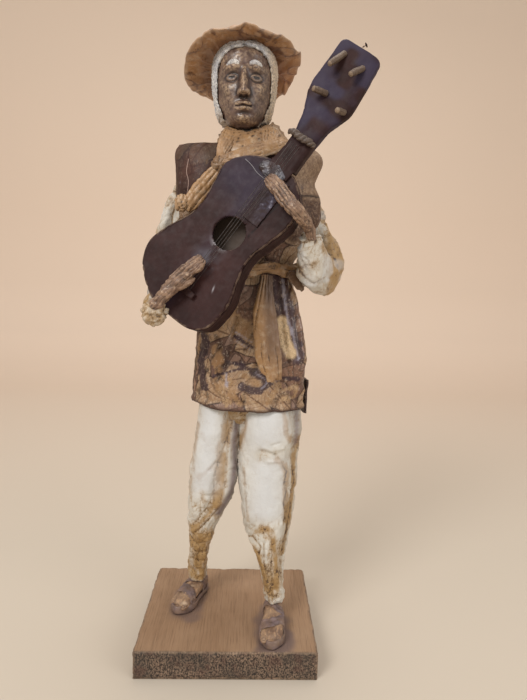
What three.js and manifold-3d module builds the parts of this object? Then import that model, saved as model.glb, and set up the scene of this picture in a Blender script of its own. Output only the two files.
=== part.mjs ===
// Papier-mache figure of an old guitar player, standing on a sawn block of wood.
//
// Millimetres. +Z is up, the figure faces -Y, and its own left side is +X.
// The origin is the middle of the block's underside. Every piece of cloth is stiff
// pasted paper, so it is one closed solid with its folds in the surface.

import * as THREE from 'three';
import { mergeVertices } from 'three/addons/utils/BufferGeometryUtils.js';
import Module from 'manifold-3d';

const wasm = await Module();
wasm.setup();

// ---------------------------------------------------------------- driving sizes

const GAP = 0.3;                       // clearance between pieces that touch
const BASE = { width: 100, depth: 86, height: 16 };

const ANKLE_HEIGHT = 28;               // lower ends of the trouser legs
const HEM_HEIGHT = 142;                // lower edge of the tunic
const WAIST_HEIGHT = 219;              // middle of the sash
const SHOULDER_HEIGHT = 286.9;         // top of the tunic
const NECK_HEIGHT = 275.4;             // lower end of the neck, inside the collar
const CHIN_HEIGHT = 293.2;
const CROWN_HEIGHT = 341.6;            // top of the bare skull, under the hair
const HAIR_HEIGHT = 343.4;
const JAW_HEIGHT = 300;                // lower edge of the hair
const HEAD_X = 3;                      // the head stands a little left of the tunic's middle

const HAT = { x: 1.3, y: 7, z: 330.4, brim: 33.6, crown: 15, tilt: 18, roll: 3.8 };

const SOLE = { thickness: 2.2, width: 14.4, heel: 10.6 };
const TUNIC_WALL = 1.8;
const TUNIC_POCKET = 16;               // depth of the hollow under the hem

// The guitar has its own frame: x across, y along to the headstock, z out of its face.
const GUITAR = {
  centre: new THREE.Vector3(-2.4, -40, 236.6),   // middle of the soundhole
  slope: 53,                           // of the neck above the horizontal
  turn: 18,                            // of the face about the neck, towards the right arm
  lowDepth: 15,                        // body depth at the broad end
  highDepth: 11.5,                     // body depth at the neck
  plate: 1.5,                          // thickness of the top and the back
  wall: 1.9,                           // thickness of the sides
  bottom: -51,
  top: 41.5,
  hole: 8.5,                           // radius of the soundhole
  nut: 56.5,
  headEnd: 107.5,
  neckThickness: 6.5,
  headThickness: 4.6,
  fretboard: 1.2,
  stringLift: 2.3,
};

const COLOURS = {
  wood: 0x6b4a38,
  skin: 0x4a2c22,
  wool: 0xc9c4ba,
  straw: 0x9a6b3c,
  cream: 0xd9d2c0,
  print: 0x8d5f3e,
  hands: 0x8f6a4a,
  feet: 0x8b6a45,
  leather: 0x5a4a50,
  lacquer: 0x46302e,
  peg: 0x7d6248,
  iron: 0x3a2a24,
  gut: 0x8c8478,
};

// ---------------------------------------------------------------- helpers

const radians = THREE.MathUtils.degToRad;

// Turns rows of [key, value, value, ...] into a smooth function of the key.
function stations(rows) {
  const keys = rows.map((row) => row[0]);
  const values = rows.flatMap((row) => row.slice(1));
  const curve = new THREE.CubicInterpolant(keys, values, rows[0].length - 1);
  return (key) => Array.from(curve.evaluate(key));
}

// Smallest signed turn from one angle to another.
function turnFrom(angle, other) {
  return Math.atan2(Math.sin(angle - other), Math.cos(angle - other));
}

// A rounded ridge, 1 on its middle line and near 0 beyond its width.
function bump(distance, width) {
  return Math.exp(-((distance / width) ** 2));
}

// Creased paper: flat facets between sharp ridges, from about -1 to 1.
function crumple(x, y, z, grain) {
  const first = Math.sin(x / grain + 1.4 * Math.sin(z / grain / 1.7 + 0.6));
  const second = Math.sin((z + 0.5 * y) / grain / 1.3 + 1.1 * Math.sin(y / grain + 2));
  const third = Math.sin((x - z) / grain / 2.1 + 0.9 * Math.sin(x / grain / 1.5));
  return 1 - (Math.abs(first) + Math.abs(second) + Math.abs(third)) / 1.5;
}

// A point on a unit outline between an ellipse (power 2) and a rectangle (high power).
function outlinePoint(angle, power) {
  const across = Math.sin(angle);
  const ahead = Math.cos(angle);
  const reach = (Math.abs(across) ** power + Math.abs(ahead) ** power) ** (-1 / power);
  return [across * reach, -ahead * reach];
}

function weld(geometry) {
  geometry.deleteAttribute('normal');
  geometry.deleteAttribute('uv');
  return mergeVertices(geometry, 1e-4);
}

// A closed body drawn from a cylinder: place(rise, angle, reach) gives each point,
// with rise 0 to 1 from the foot to the top, angle 0 at the front, and reach 0 at
// the middle of an end.
function loft(sides, rows, place) {
  const geometry = new THREE.CylinderGeometry(1, 1, 1, sides, rows);
  const points = geometry.attributes.position;
  for (let i = 0; i < points.count; i += 1) {
    const x = points.getX(i);
    const z = points.getZ(i);
    const spot = place(points.getY(i) + 0.5, Math.atan2(x, z), Math.hypot(x, z) > 0.5 ? 1 : 0);
    points.setXYZ(i, spot.x, spot.y, spot.z);
  }
  return weld(geometry);
}

// Rows lie closer together near both ends of a body.
function crowdEnds(rise) {
  return rise - 0.09 * Math.sin(2 * Math.PI * rise);
}

// An upright body. levels(height) gives [x, y, half width, half depth], and lift
// raises the skin above its level.
function upright({ sides, rows, foot, top, levels, power, relief, lift }) {
  return loft(sides, rows, (rise, angle, reach) => {
    const height = THREE.MathUtils.lerp(foot, top, crowdEnds(rise));
    const [x, y, width, depth] = levels(height);
    const [across, ahead] = outlinePoint(angle, power);
    const swell = relief ? relief(angle, height) : 0;
    return new THREE.Vector3(
      x + reach * across * (width + swell),
      y + reach * ahead * (depth + swell),
      height + (lift ? lift(angle, height) : 0),
    );
  });
}

// A body along a curve. section(rise) gives [half width, half thickness]. The
// width lies across the reference direction and the thickness along it.
function limb({ sides, rows, path, reference, section, relief }) {
  const curve = new THREE.CatmullRomCurve3(path);
  return loft(sides, rows, (rise, angle, reach) => {
    const along = crowdEnds(rise);
    const centre = curve.getPointAt(along);
    const ahead = curve.getTangentAt(along);
    const side = new THREE.Vector3().crossVectors(reference, ahead).normalize();
    const face = new THREE.Vector3().crossVectors(ahead, side);
    const [width, thickness] = section(along);
    const [across, depth] = outlinePoint(angle, 2.2);
    const swell = relief ? relief(along, angle, centre) : 0;
    return centre
      .addScaledVector(side, reach * across * (width + swell))
      .addScaledVector(face, reach * depth * (thickness + swell));
  });
}

// A closed ring. place(around, section) gives each point, both angles in radians.
function hoop(steps, sides, place) {
  const geometry = new THREE.TorusGeometry(2, 1, sides, steps);
  const points = geometry.attributes.position;
  for (let i = 0; i < points.count; i += 1) {
    const x = points.getX(i);
    const y = points.getY(i);
    const spot = place(Math.atan2(y, x), Math.atan2(points.getZ(i), Math.hypot(x, y) - 2));
    points.setXYZ(i, spot.x, spot.y, spot.z);
  }
  return weld(geometry);
}

// A lump: an ellipsoid with an uneven skin.
function lump(centre, radii, unevenness) {
  const geometry = new THREE.SphereGeometry(1, 9, 7);
  const points = geometry.attributes.position;
  const spot = new THREE.Vector3();
  for (let i = 0; i < points.count; i += 1) {
    spot.fromBufferAttribute(points, i);
    const size = 1 + unevenness * crumple(spot.x * 9, spot.y * 9, spot.z * 9, 2.2);
    points.setXYZ(
      i,
      centre.x + spot.x * radii.x * size,
      centre.y - spot.z * radii.y * size,
      centre.z + spot.y * radii.z * size,
    );
  }
  return weld(geometry);
}

// A flat plate cut to an outline, its underside at zero.
function plate(shape, thickness) {
  return weld(new THREE.ExtrudeGeometry(shape, { depth: thickness, bevelEnabled: false }));
}

function block(width, depth, height, x, y, z) {
  return weld(new THREE.BoxGeometry(width, depth, height).translate(x, y, z));
}

function toSolid(geometry) {
  return new wasm.Manifold(new wasm.Mesh({
    numProp: 3,
    vertProperties: new Float32Array(geometry.attributes.position.array),
    triVerts: new Uint32Array(geometry.index.array),
  }));
}

// The largest body of a cut piece, without the crumbs that a cut can leave.
function toGeometry(solid) {
  const bodies = solid.decompose().sort((one, other) => other.volume() - one.volume());
  const mesh = bodies[0].getMesh();
  const geometry = new THREE.BufferGeometry();
  geometry.setAttribute('position', new THREE.BufferAttribute(mesh.vertProperties, 3));
  geometry.setIndex(new THREE.BufferAttribute(mesh.triVerts, 1));
  return geometry;
}

function join(...pieces) {
  return toGeometry(pieces.map(toSolid).reduce((whole, piece) => whole.add(piece)));
}

function cut(piece, ...tools) {
  return toGeometry(tools.map(toSolid).reduce((left, tool) => left.subtract(tool), toSolid(piece)));
}

function common(piece, other) {
  return toGeometry(toSolid(piece).intersect(toSolid(other)));
}

// The same body, with its skin moved out.
function swollen(geometry, distance = GAP) {
  const bigger = geometry.clone();
  bigger.computeVertexNormals();
  const points = bigger.attributes.position;
  const normals = bigger.attributes.normal;
  for (let i = 0; i < points.count; i += 1) {
    points.setXYZ(
      i,
      points.getX(i) + distance * normals.getX(i),
      points.getY(i) + distance * normals.getY(i),
      points.getZ(i) + distance * normals.getZ(i),
    );
  }
  bigger.deleteAttribute('normal');
  return bigger;
}

const group = new THREE.Group();
group.name = 'papier_mache_guitar_player';

function add(name, geometry, colour, roughness, parent = group) {
  const material = new THREE.MeshStandardMaterial({ color: colour, roughness, metalness: 0 });
  const mesh = new THREE.Mesh(geometry, material);
  mesh.name = name;
  parent.add(mesh);
}

// ---------------------------------------------------------------- block of wood

function makeBase() {
  return block(BASE.width, BASE.depth, BASE.height, 0, 0, BASE.height / 2);
}

// ---------------------------------------------------------------- feet and sandals

const FEET = [
  { name: 'right', heel: [-17, 20.5], toe: [-31, -10.5] },
  { name: 'left', heel: [27.4, -5.2], toe: [24.3, -41] },
];

// The foot as it would lie with its heel at the origin, pointing along -Y.
function makeFoot(length) {
  const floor = BASE.height + GAP + SOLE.thickness + GAP;
  const sizes = stations([
    // distance from the heel, half width, top above the sole
    [0, 2.6, 4.5],
    [2.5, 4.3, ANKLE_HEIGHT - GAP - floor],
    [9, 5.1, ANKLE_HEIGHT - GAP - floor],
    [14.5, 5.3, ANKLE_HEIGHT - GAP - floor - 1.2],
    [20, 5.9, 6.2],
    [26, 6.3, 4.8],
    [31, 6, 4],
    [length, 3.6, 2],
  ]);
  return loft(10, 9, (rise, angle, reach) => {
    const distance = length * crowdEnds(rise);
    const [width, top] = sizes(distance);
    const [across, up] = outlinePoint(angle + Math.PI, 2.6);
    const toes = THREE.MathUtils.smoothstep(distance, 24, 29) * 0.5 * (1 + up);
    const side = reach * across * width;
    const groove = toes * 0.55 * Math.cos((side / width) * Math.PI * 4.4);
    const half = top / 2;
    const height = floor + half + reach * (-up * half + groove);
    return new THREE.Vector3(-side, -distance, Math.min(height, ANKLE_HEIGHT - GAP));
  });
}

function makeSole(length) {
  const outline = [
    // distance from the heel, half width
    [-1.2, 0.4 * SOLE.heel],
    [4.8, 0.5 * SOLE.heel],
    [13.8, 0.5 * SOLE.heel],
    [23.8, 0.5 * SOLE.width],
    [length - 5.2, 0.47 * SOLE.width],
    [length + 0.4, 0.2 * SOLE.width],
  ];
  const right = outline.map(([distance, half]) => new THREE.Vector2(half, -distance));
  const left = right.map((point) => new THREE.Vector2(-point.x, point.y)).reverse();
  const edge = new THREE.SplineCurve([...right, ...left, right[0]]);
  const shape = new THREE.Shape(edge.getPoints(16).slice(0, -1));
  return plate(shape, SOLE.thickness).translate(0, 0, BASE.height + GAP);
}

// The sole, with one strap over the toes and one over the instep.
function makeSandal(foot, length) {
  const under = BASE.height + SOLE.thickness - 0.4;
  const over = ANKLE_HEIGHT - GAP;
  const straps = [-length + 10.5, -17.5].map((y) => {
    const slab = block(30, 4.4, over - under, 0, y, (over + under) / 2);
    return cut(common(swollen(foot, 1.3), slab), swollen(foot));
  });
  return join(makeSole(length), ...straps);
}

// ---------------------------------------------------------------- trousers

const RIGHT_LEG = stations([
  // height, x, y, half width, half depth
  [ANKLE_HEIGHT, -20.4, 12, 5.7, 6.4],
  [46, -19.6, 8.5, 6, 7.2],
  [60, -18.2, 5.8, 7, 8.8],
  [73, -15.9, 3, 9.8, 10.6],
  [91, -12, -0.5, 13.4, 12.4],
  [116, -9.8, -1.5, 13, 13.8],
  [139, -8, -1, 12, 15],
  [156, -6.6, 0, 12.6, 15],
]);

const LEFT_LEG = stations([
  [ANKLE_HEIGHT, 26.7, -12, 5.3, 6.2],
  [44.5, 24.9, -11.4, 6.3, 7.6],
  [57, 22.9, -10, 8.5, 9.8],
  [72, 21.8, -8, 13.4, 12.2],
  [90, 21.4, -5.6, 15.7, 13.8],
  [112, 21.3, -3.6, 17.3, 14.8],
  [139, 21.8, -1.4, 17.2, 16],
  [156, 20.6, 0, 16, 15.4],
]);

const CROTCH = stations([
  [129, 6, 0, 5, 5],
  [136, 7.5, 0, 20, 11],
  [145, 8, 0, 26.5, 14.5],
  [156.6, 8, 0, 26.5, 15],
]);

// Folds of the right leg: a long one from the hip to the inside of the knee, and
// slack cloth gathered over the calf.
function rightLegRelief(angle, height) {
  const slant = radians(THREE.MathUtils.mapLinear(height, 150, 80, 44, 12));
  const seam = -2 * bump(turnFrom(angle, slant), 0.3) * THREE.MathUtils.smoothstep(height, 62, 84);
  const inner = 1.2 * bump(turnFrom(angle, slant + 0.75), 0.3);
  const slack = THREE.MathUtils.smoothstep(92 - height, 0, 22);
  const gathers = 0.55 * slack * Math.sin(height / 2.4 + 2.2 * Math.sin(angle + 0.6));
  return seam + inner + gathers + 0.6 * crumple(angle * 9, 0, height, 5.5);
}

// Folds of the left leg: a smooth shin, a deep fold down the outer side, and slack
// cloth drawn in above the ankle.
function leftLegRelief(angle, height) {
  const outer = radians(THREE.MathUtils.mapLinear(height, 140, 50, 56, 64));
  const seam = -2.8 * bump(turnFrom(angle, outer), 0.3) * THREE.MathUtils.smoothstep(height, 40, 60);
  const flap = 1.1 * bump(turnFrom(angle, outer + 0.6), 0.3);
  const slack = THREE.MathUtils.smoothstep(70 - height, 0, 18);
  const gathers = 0.8 * slack * Math.sin(angle * 5 + height / 9);
  const calm = 1 - 0.7 * bump(turnFrom(angle, 0), 0.8) * (1 - slack);
  return seam + flap + gathers + 0.6 * calm * crumple(angle * 9, 3, height, 5.5);
}

function makeTrousers() {
  const top = HEM_HEIGHT + TUNIC_POCKET - GAP;
  const cloth = { sides: 16, rows: 15, foot: ANKLE_HEIGHT, top: top - 1, power: 2.25 };
  const right = upright({ ...cloth, levels: RIGHT_LEG, relief: rightLegRelief });
  const left = upright({ ...cloth, levels: LEFT_LEG, relief: leftLegRelief });
  const hips = upright({ sides: 14, rows: 3, foot: 129, top, levels: CROTCH, power: 2.4 });
  const under = HEM_HEIGHT - 0.6;
  const room = join(makePocket(GAP), block(120, 80, under, 0, 0, under / 2));
  return common(join(right, left, hips), room);
}

// ---------------------------------------------------------------- tunic

const TUNIC = stations([
  // height, x, y, half width, half depth
  [HEM_HEIGHT, 8.7, 0, 32.3, 20],
  [155, 9.2, 0, 32.1, 20],
  [164, 9.5, 0, 31.7, 19.4],
  [181, 8.9, 0, 30.1, 18.4],
  [198, 8.3, 0, 27.2, 17],
  [210, 8.2, 0, 25.2, 16],
  [221, 8, 0, 23.2, 14.7],
  [235, 8, 0, 31, 16.4],
  [245, 8, 0, 38.6, 17.4],
  [257, 7, 0, 40.4, 17.8],
  [268, 4.6, 0, 38.8, 17.6],
  [276, 5.8, 0, 40.4, 17],
  [281, 6.2, 0, 40.8, 15.8],
  [284.8, 5.6, 0, 39.4, 13.4],
  [SHOULDER_HEIGHT, 5, 0, 37.4, 11],
]);

// A rolled fold falls from the sash on the left, and shallow ones fan out below it.
function tunicRelief(angle, height) {
  const skirt = THREE.MathUtils.smoothstep(WAIST_HEIGHT - height, 2, 30);
  const rollAt = radians(THREE.MathUtils.mapLinear(height, 216, 165, 62, 54));
  const roll = 2.6 * bump(turnFrom(angle, rollAt), 0.2)
    * THREE.MathUtils.smoothstep(height, 156, 172) * THREE.MathUtils.smoothstep(228 - height, 0, 12);
  const valley = -1.6 * skirt * bump(turnFrom(angle, rollAt - 0.42), 0.16);
  const fan = 0.8 * skirt * Math.cos(angle * 7 + 0.6 + height / 45);
  const chest = 0.4 * crumple(angle * 16, 0, height, 9);
  const cinch = 1 - bump(height - WAIST_HEIGHT, 9);
  return cinch * (roll + valley + fan + chest);
}

// The hem rides up at the right hip.
function hemLift(angle, height) {
  const side = THREE.MathUtils.smoothstep(-Math.sin(angle), 0.2, 1);
  return 3.4 * side * (1 - THREE.MathUtils.smoothstep(height, HEM_HEIGHT, HEM_HEIGHT + 40));
}

// The hollow under the hem that the trousers go up into.
function makePocket(clearance) {
  return upright({
    sides: 20,
    rows: 1,
    foot: HEM_HEIGHT - 4,
    top: HEM_HEIGHT + TUNIC_POCKET - clearance,
    levels: () => {
      const [x, y, width, depth] = TUNIC(HEM_HEIGHT);
      const inset = TUNIC_WALL + 0.7 + clearance;
      return [x, y, width - inset, depth - inset];
    },
    power: 2.6,
  });
}

function makeTunic() {
  const body = upright({
    sides: 28,
    rows: 16,
    foot: HEM_HEIGHT,
    top: SHOULDER_HEIGHT,
    levels: TUNIC,
    power: 2.6,
    relief: tunicRelief,
    lift: hemLift,
  });
  const throat = weld(new THREE.CylinderGeometry(11, 11, 30, 10, 1).rotateX(Math.PI / 2));
  throat.translate(HEAD_X + 1, 2, NECK_HEIGHT - GAP + 15);
  const hemFlap = block(1.3, 13, 21, 0, 0, 0);
  hemFlap.rotateZ(radians(12)).rotateY(radians(2)).translate(42, 7, 147);
  return cut(join(body, hemFlap), makePocket(0), makeScarfRing(18, 7, 1.5), throat);
}

// ---------------------------------------------------------------- sash

// The tail hangs down the front from under the band and is pleated lengthwise.
function makeSash() {
  const [x, y, width, depth] = TUNIC(WAIST_HEIGHT);
  const band = hoop(24, 6, (around, section) => {
    const slack = 0.5 * Math.cos(section * 3 + around * 2);
    const reach = 1.7 * Math.cos(section) + 0.35 * slack;
    const lift = (3.7 + slack) * Math.sin(section) - 1.5 * Math.sin(around) ** 2 + 1.2;
    const [across, ahead] = outlinePoint(around + Math.PI / 2, 2.6);
    return new THREE.Vector3(
      x + across * (width + 4.3 + reach),
      y + ahead * (depth + 4 + reach),
      WAIST_HEIGHT + lift,
    );
  });
  const tail = limb({
    sides: 12,
    rows: 8,
    path: [
      new THREE.Vector3(23, -22.6, 161.5),
      new THREE.Vector3(20.2, -22.9, 170),
      new THREE.Vector3(17.8, -22, 186),
      new THREE.Vector3(16.6, -20.7, 203),
      new THREE.Vector3(17.6, -19, 217),
    ],
    reference: new THREE.Vector3(0, -1, 0),
    section: stations([[0, 4, 1], [0.15, 6.4, 1.4], [0.45, 6.8, 1.5], [0.75, 5.2, 1.5], [1, 3, 1.5]]),
    relief: (along, angle) => 0.4 * Math.cos(angle * 7),
  });
  return join(band, tail);
}

// ---------------------------------------------------------------- scarf

// The sloping collar of pleated cloth, lower at the front and the back.
function makeScarfRing(steps, sides, grown) {
  return hoop(steps, sides, (around, section) => {
    const spread = new THREE.Vector2(Math.cos(around), Math.sin(around));
    const front = spread.y ** 2;
    const leftSide = 0.5 * (spread.x + spread.x ** 2);
    const pleat = grown ? 0 : 0.5 * Math.cos(section * 6 + around * 2);
    const half = (9 - 1.2 * front + grown) * Math.cos(section);
    const thickness = (2.4 + grown) * Math.sin(section);
    const outward = 17.4 + half * 0.56 + thickness * 0.83 + pleat;
    const lift = -half * 0.83 + thickness * 0.56 - 6 * front;
    return new THREE.Vector3(
      HEAD_X + 2.2 + spread.x * outward * 1.04 + 2.2 * leftSide,
      0.5 + spread.y * (outward - 1.2),
      288.4 + lift + 0.4 * pleat + 2.6 * leftSide,
    );
  });
}

// A kerchief round the neck, crossed at the front and knotted on the right.
function makeScarf() {
  const ring = makeScarfRing(26, 9, 0);
  const knot = lump(new THREE.Vector3(-8.4, -19.6, 273.4), new THREE.Vector3(4.4, 3.2, 4.8), 0.16);
  const tail = limb({
    sides: 8,
    rows: 6,
    path: [
      new THREE.Vector3(-26.5, -20.6, 250.5),
      new THREE.Vector3(-22.6, -20.2, 255),
      new THREE.Vector3(-15.8, -19.9, 263.6),
      new THREE.Vector3(-8.6, -19.8, 272.6),
    ],
    reference: new THREE.Vector3(0.15, -1, 0),
    section: stations([[0, 3.4, 1.1], [0.2, 4.4, 1.5], [0.8, 3.8, 1.5], [1, 2.6, 1.4]]),
    relief: (along, angle) => 0.3 * Math.cos(angle * 5),
  });
  const end = lump(new THREE.Vector3(-28, -20.4, 253.4), new THREE.Vector3(3.8, 2.4, 4.6), 0.2);
  return join(ring, knot, tail, end);
}

// ---------------------------------------------------------------- head, hair and hat

const SKULL = stations([
  // height, x, y, half width, half depth
  [CHIN_HEIGHT, HEAD_X, -8.6, 3.6, 3.6],
  [295, HEAD_X, -7, 6.6, 7.4],
  [299, HEAD_X, -4, 9.8, 12],
  [304, HEAD_X, -1.3, 12.2, 15.4],
  [310, HEAD_X, 0, 13.8, 17.3],
  [318, HEAD_X, 1, 15, 18.5],
  [326, HEAD_X, 1.6, 15.4, 18.9],
  [333, HEAD_X, 2, 14.8, 18.2],
  [337.5, HEAD_X, 2.4, 12, 14.8],
  [340.4, HEAD_X, 2.8, 7.6, 9.4],
  [CROWN_HEIGHT, HEAD_X, 3, 3, 3.6],
]);

const FACE = {
  brow: 323.6,
  eyes: 318.4,
  eyeSpacing: 6.1,                     // from the middle of the face to each eye
  noseTop: 321.5,
  noseTip: 309.6,
  lips: 302.6,
  chin: 296.4,
};

// How far the front of the face stands out of the plain skull at x, z.
function faceRelief(x, z) {
  const side = Math.abs(x);
  const bridge = THREE.MathUtils.clamp((FACE.noseTop + 1.5 - z) / (FACE.noseTop - FACE.noseTip), 0, 1);
  const nose = bump(x, 1.3 + 1.3 * bridge) * (0.9 + 4.6 * bridge)
    * THREE.MathUtils.smoothstep(z, FACE.noseTip - 3.2, FACE.noseTip - 0.2)
    * THREE.MathUtils.smoothstep(FACE.noseTop + 4 - z, 0, 4);
  const brow = 1.1 * bump(side - 6, 4.6) * bump(z - FACE.brow, 1.9);
  const socket = -2.3 * bump(side - FACE.eyeSpacing, 3) * bump(z - FACE.eyes, 2.5);
  const lids = 1.2 * bump(side - FACE.eyeSpacing, 2) * bump(z - FACE.eyes + 0.1, 1.3);
  const cheek = 0.9 * bump(side - 8.6, 3) * bump(z - 312.4, 3);
  const lips = 1.5 * bump(x, 4.2) * (bump(z - FACE.lips - 1.2, 1.1) + bump(z - FACE.lips + 1.5, 1.2));
  const chin = 1.5 * bump(x, 4) * bump(z - FACE.chin, 2.6);
  return nose + brow + socket + lids + cheek + lips + chin;
}

function makeHead() {
  const skull = loft(20, 18, (rise, angle, reach) => {
    const height = THREE.MathUtils.lerp(CHIN_HEIGHT, CROWN_HEIGHT, crowdEnds(rise));
    const bearing = angle - 0.42 * Math.sin(angle);
    const [x, y, width, depth] = SKULL(height);
    const [across, ahead] = outlinePoint(bearing, 2.15);
    const side = reach * across * width;
    const front = THREE.MathUtils.smoothstep(-ahead, 0.25, 0.7);
    const relief = front * faceRelief(side, height);
    return new THREE.Vector3(x + side, y + reach * (ahead * depth - relief), height);
  });
  const neck = upright({
    sides: 12,
    rows: 2,
    foot: NECK_HEIGHT,
    top: 303,
    levels: stations([
      [NECK_HEIGHT, HEAD_X + 1, 2.5, 9.4, 9.6],
      [290, HEAD_X + 0.6, 2, 8.6, 9],
      [303, HEAD_X, 2, 9, 10],
    ]),
    power: 2,
  });
  return join(skull, neck);
}

const HAIR = stations([
  [JAW_HEIGHT, HEAD_X, 3, 12.4, 13.6],
  [303, HEAD_X, 2.7, 15, 16.8],
  [310, HEAD_X, 2.5, 16.6, 19.2],
  [318, HEAD_X, 2.5, 17.7, 20.6],
  [326, HEAD_X, 2.7, 18, 21],
  [332, HEAD_X, 3, 17.3, 20.2],
  [337.5, HEAD_X, 3, 15, 17.2],
  [341.2, HEAD_X, 3, 10.6, 12.2],
  [HAIR_HEIGHT, HEAD_X, 3.2, 4, 4.8],
]);

function makeHairMass(shape) {
  return upright({ foot: JAW_HEIGHT, top: HAIR_HEIGHT, levels: HAIR, power: 2.1, ...shape });
}

// The skull without its face, for the hollow of the hair.
function makeScalp() {
  return upright({
    sides: 16,
    rows: 8,
    foot: CHIN_HEIGHT,
    top: CROWN_HEIGHT + 0.8,
    levels: SKULL,
    power: 2.15,
    relief: () => 1.1,
  });
}

// Woolly hair over the back and top of the skull, with its edge framing the face.
function makeHair() {
  const wool = (angle, height) => {
    const curl = angle * 9 + 1.7 * Math.sin(height / 2.2);
    return 0.45 * Math.cos(curl) * Math.cos(height / 1.9);
  };
  const arch = new THREE.Shape();
  arch.moveTo(-14, -20);
  arch.lineTo(-14, 9);
  arch.absellipse(0, 9, 14, 13.4, Math.PI, 0, true);
  arch.lineTo(14, -20);
  const opening = plate(arch, 60).rotateX(Math.PI / 2).translate(HEAD_X, -5.5, 313);
  const neck = block(19, 35, 20, HEAD_X, -4, 296);
  return cut(makeHairMass({ sides: 20, rows: 11, relief: wool }), makeScalp(), opening, neck);
}

// A straw-coloured paper hat pushed back on the head, its brim wavy and creased.
function makeHat(hairRoom) {
  const { brim, crown } = HAT;
  const outline = [
    [0, -0.7], [17, -0.7], [26, -0.9], [brim, -0.6],
    [brim, 0.7], [26, 0.9], [21.4, 1.8], [20.2, 6], [18, 11.4], [13, crown - 1], [0, crown],
  ];
  const profile = outline.map(([radius, height]) => new THREE.Vector2(radius, height));
  const geometry = new THREE.LatheGeometry(profile, 25);
  const points = geometry.attributes.position;
  for (let i = 0; i < points.count; i += 1) {
    const x = points.getX(i);
    const back = -points.getZ(i);
    const radius = Math.hypot(x, back);
    const around = Math.atan2(back, x);
    const edge = THREE.MathUtils.smoothstep(radius, 20, brim);
    const wave = 1.1 * Math.sin(around * 3 + 0.7) + 0.8 * Math.sin(around * 5 + 2);
    const ripple = wave + 0.7 * Math.sin(around * 8);
    const trim = 1 - 0.035 * edge * (1 + Math.sin(around * 6 + 1.2));
    const oval = 1 + 0.09 * (1 - edge) * (back / Math.max(radius, 1)) ** 2;
    points.setXYZ(i, x * trim, back * trim * oval, points.getY(i) + edge * ripple);
  }
  const solid = weld(geometry);
  solid.rotateX(-radians(HAT.tilt));
  solid.rotateY(-radians(HAT.roll));
  solid.translate(HAT.x, HAT.y, HAT.z);
  return cut(solid, hairRoom);
}

// ---------------------------------------------------------------- guitar

const AROUND = radians(GUITAR.slope);
const ALONG_NECK = new THREE.Vector3(Math.cos(AROUND), 0, Math.sin(AROUND));
const ACROSS_FLAT = new THREE.Vector3(Math.sin(AROUND), 0, -Math.cos(AROUND));
const TURN = radians(GUITAR.turn);
const ACROSS = new THREE.Vector3(0, -Math.sin(TURN), 0).addScaledVector(ACROSS_FLAT, Math.cos(TURN));
const OUTWARD = new THREE.Vector3().crossVectors(ACROSS, ALONG_NECK);
const GUITAR_FRAME = new THREE.Matrix4().makeBasis(ACROSS, ALONG_NECK, OUTWARD).setPosition(GUITAR.centre);

function onGuitar(across, along, out) {
  return new THREE.Vector3(across, along, out).applyMatrix4(GUITAR_FRAME);
}

// Middle and half width of the hand-cut body along its length.
const BOUTS = [
  [GUITAR.bottom + 1, 1, 9],
  [-47.4, 0.6, 16.4],
  [-43, -0.8, 22],
  [-37, -3.2, 25.6],
  [-27, -4.8, 27.2],
  [-15, -5, 23.4],
  [-4, -3.4, 19.8],
  [7, -1.5, 20.6],
  [18, -1, 23],
  [27, -1.6, 22.9],
  [34, -1.2, 18.6],
  [38.6, -0.6, 12.4],
  [GUITAR.top - 0.4, 0, 6],
];

function guitarOutline(inset) {
  const right = BOUTS.map(([along, middle, half]) => new THREE.Vector2(middle + half, along));
  const left = BOUTS.map(([along, middle, half]) => new THREE.Vector2(middle - half, along)).reverse();
  const edge = new THREE.SplineCurve([...right, ...left, right[0]]);
  const points = edge.getPoints(40).slice(0, -1);
  return points.map((point, i) => {
    const before = points[(i + points.length - 1) % points.length];
    const after = points[(i + 1) % points.length];
    const normal = new THREE.Vector2(after.y - before.y, before.x - after.x).normalize();
    return point.clone().addScaledVector(normal, -inset);
  });
}

// Depth of the body, which is a wedge from its broad end to the neck.
function bodyDepth(along) {
  const { bottom, top, lowDepth, highDepth } = GUITAR;
  return THREE.MathUtils.mapLinear(along, bottom, top, lowDepth, highDepth);
}

// Moves a plate that is 0 to 1 thick to between two depths under the guitar's face.
function layer(geometry, upper, lower) {
  const points = geometry.attributes.position;
  for (let i = 0; i < points.count; i += 1) {
    const along = points.getY(i);
    points.setZ(i, THREE.MathUtils.lerp(-lower(along), -upper(along), points.getZ(i)));
  }
  return geometry;
}

function makeGuitarTop() {
  const shape = new THREE.Shape(guitarOutline(0));
  const hole = new THREE.Path().absarc(0, 0, GUITAR.hole, 0, 2 * Math.PI, true);
  shape.holes.push(new THREE.Path(hole.getSpacedPoints(18).slice(0, -1)));
  return layer(plate(shape, 1), () => 0, () => GUITAR.plate);
}

function makeGuitarSides() {
  const shape = new THREE.Shape(guitarOutline(0));
  shape.holes.push(new THREE.Path(guitarOutline(GUITAR.wall)));
  const upper = () => GUITAR.plate + GAP;
  return layer(plate(shape, 1), upper, (along) => bodyDepth(along) - GUITAR.plate - GAP);
}

function makeGuitarBack() {
  const shape = new THREE.Shape(guitarOutline(0));
  return layer(plate(shape, 1), (along) => bodyDepth(along) - GUITAR.plate, bodyDepth);
}

// The whole body as one solid, used to clear the pieces around it.
function guitarBlock() {
  const shape = new THREE.Shape(guitarOutline(-0.5));
  return layer(plate(shape, 1), () => -0.4, (along) => bodyDepth(along) + 0.5);
}

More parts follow.
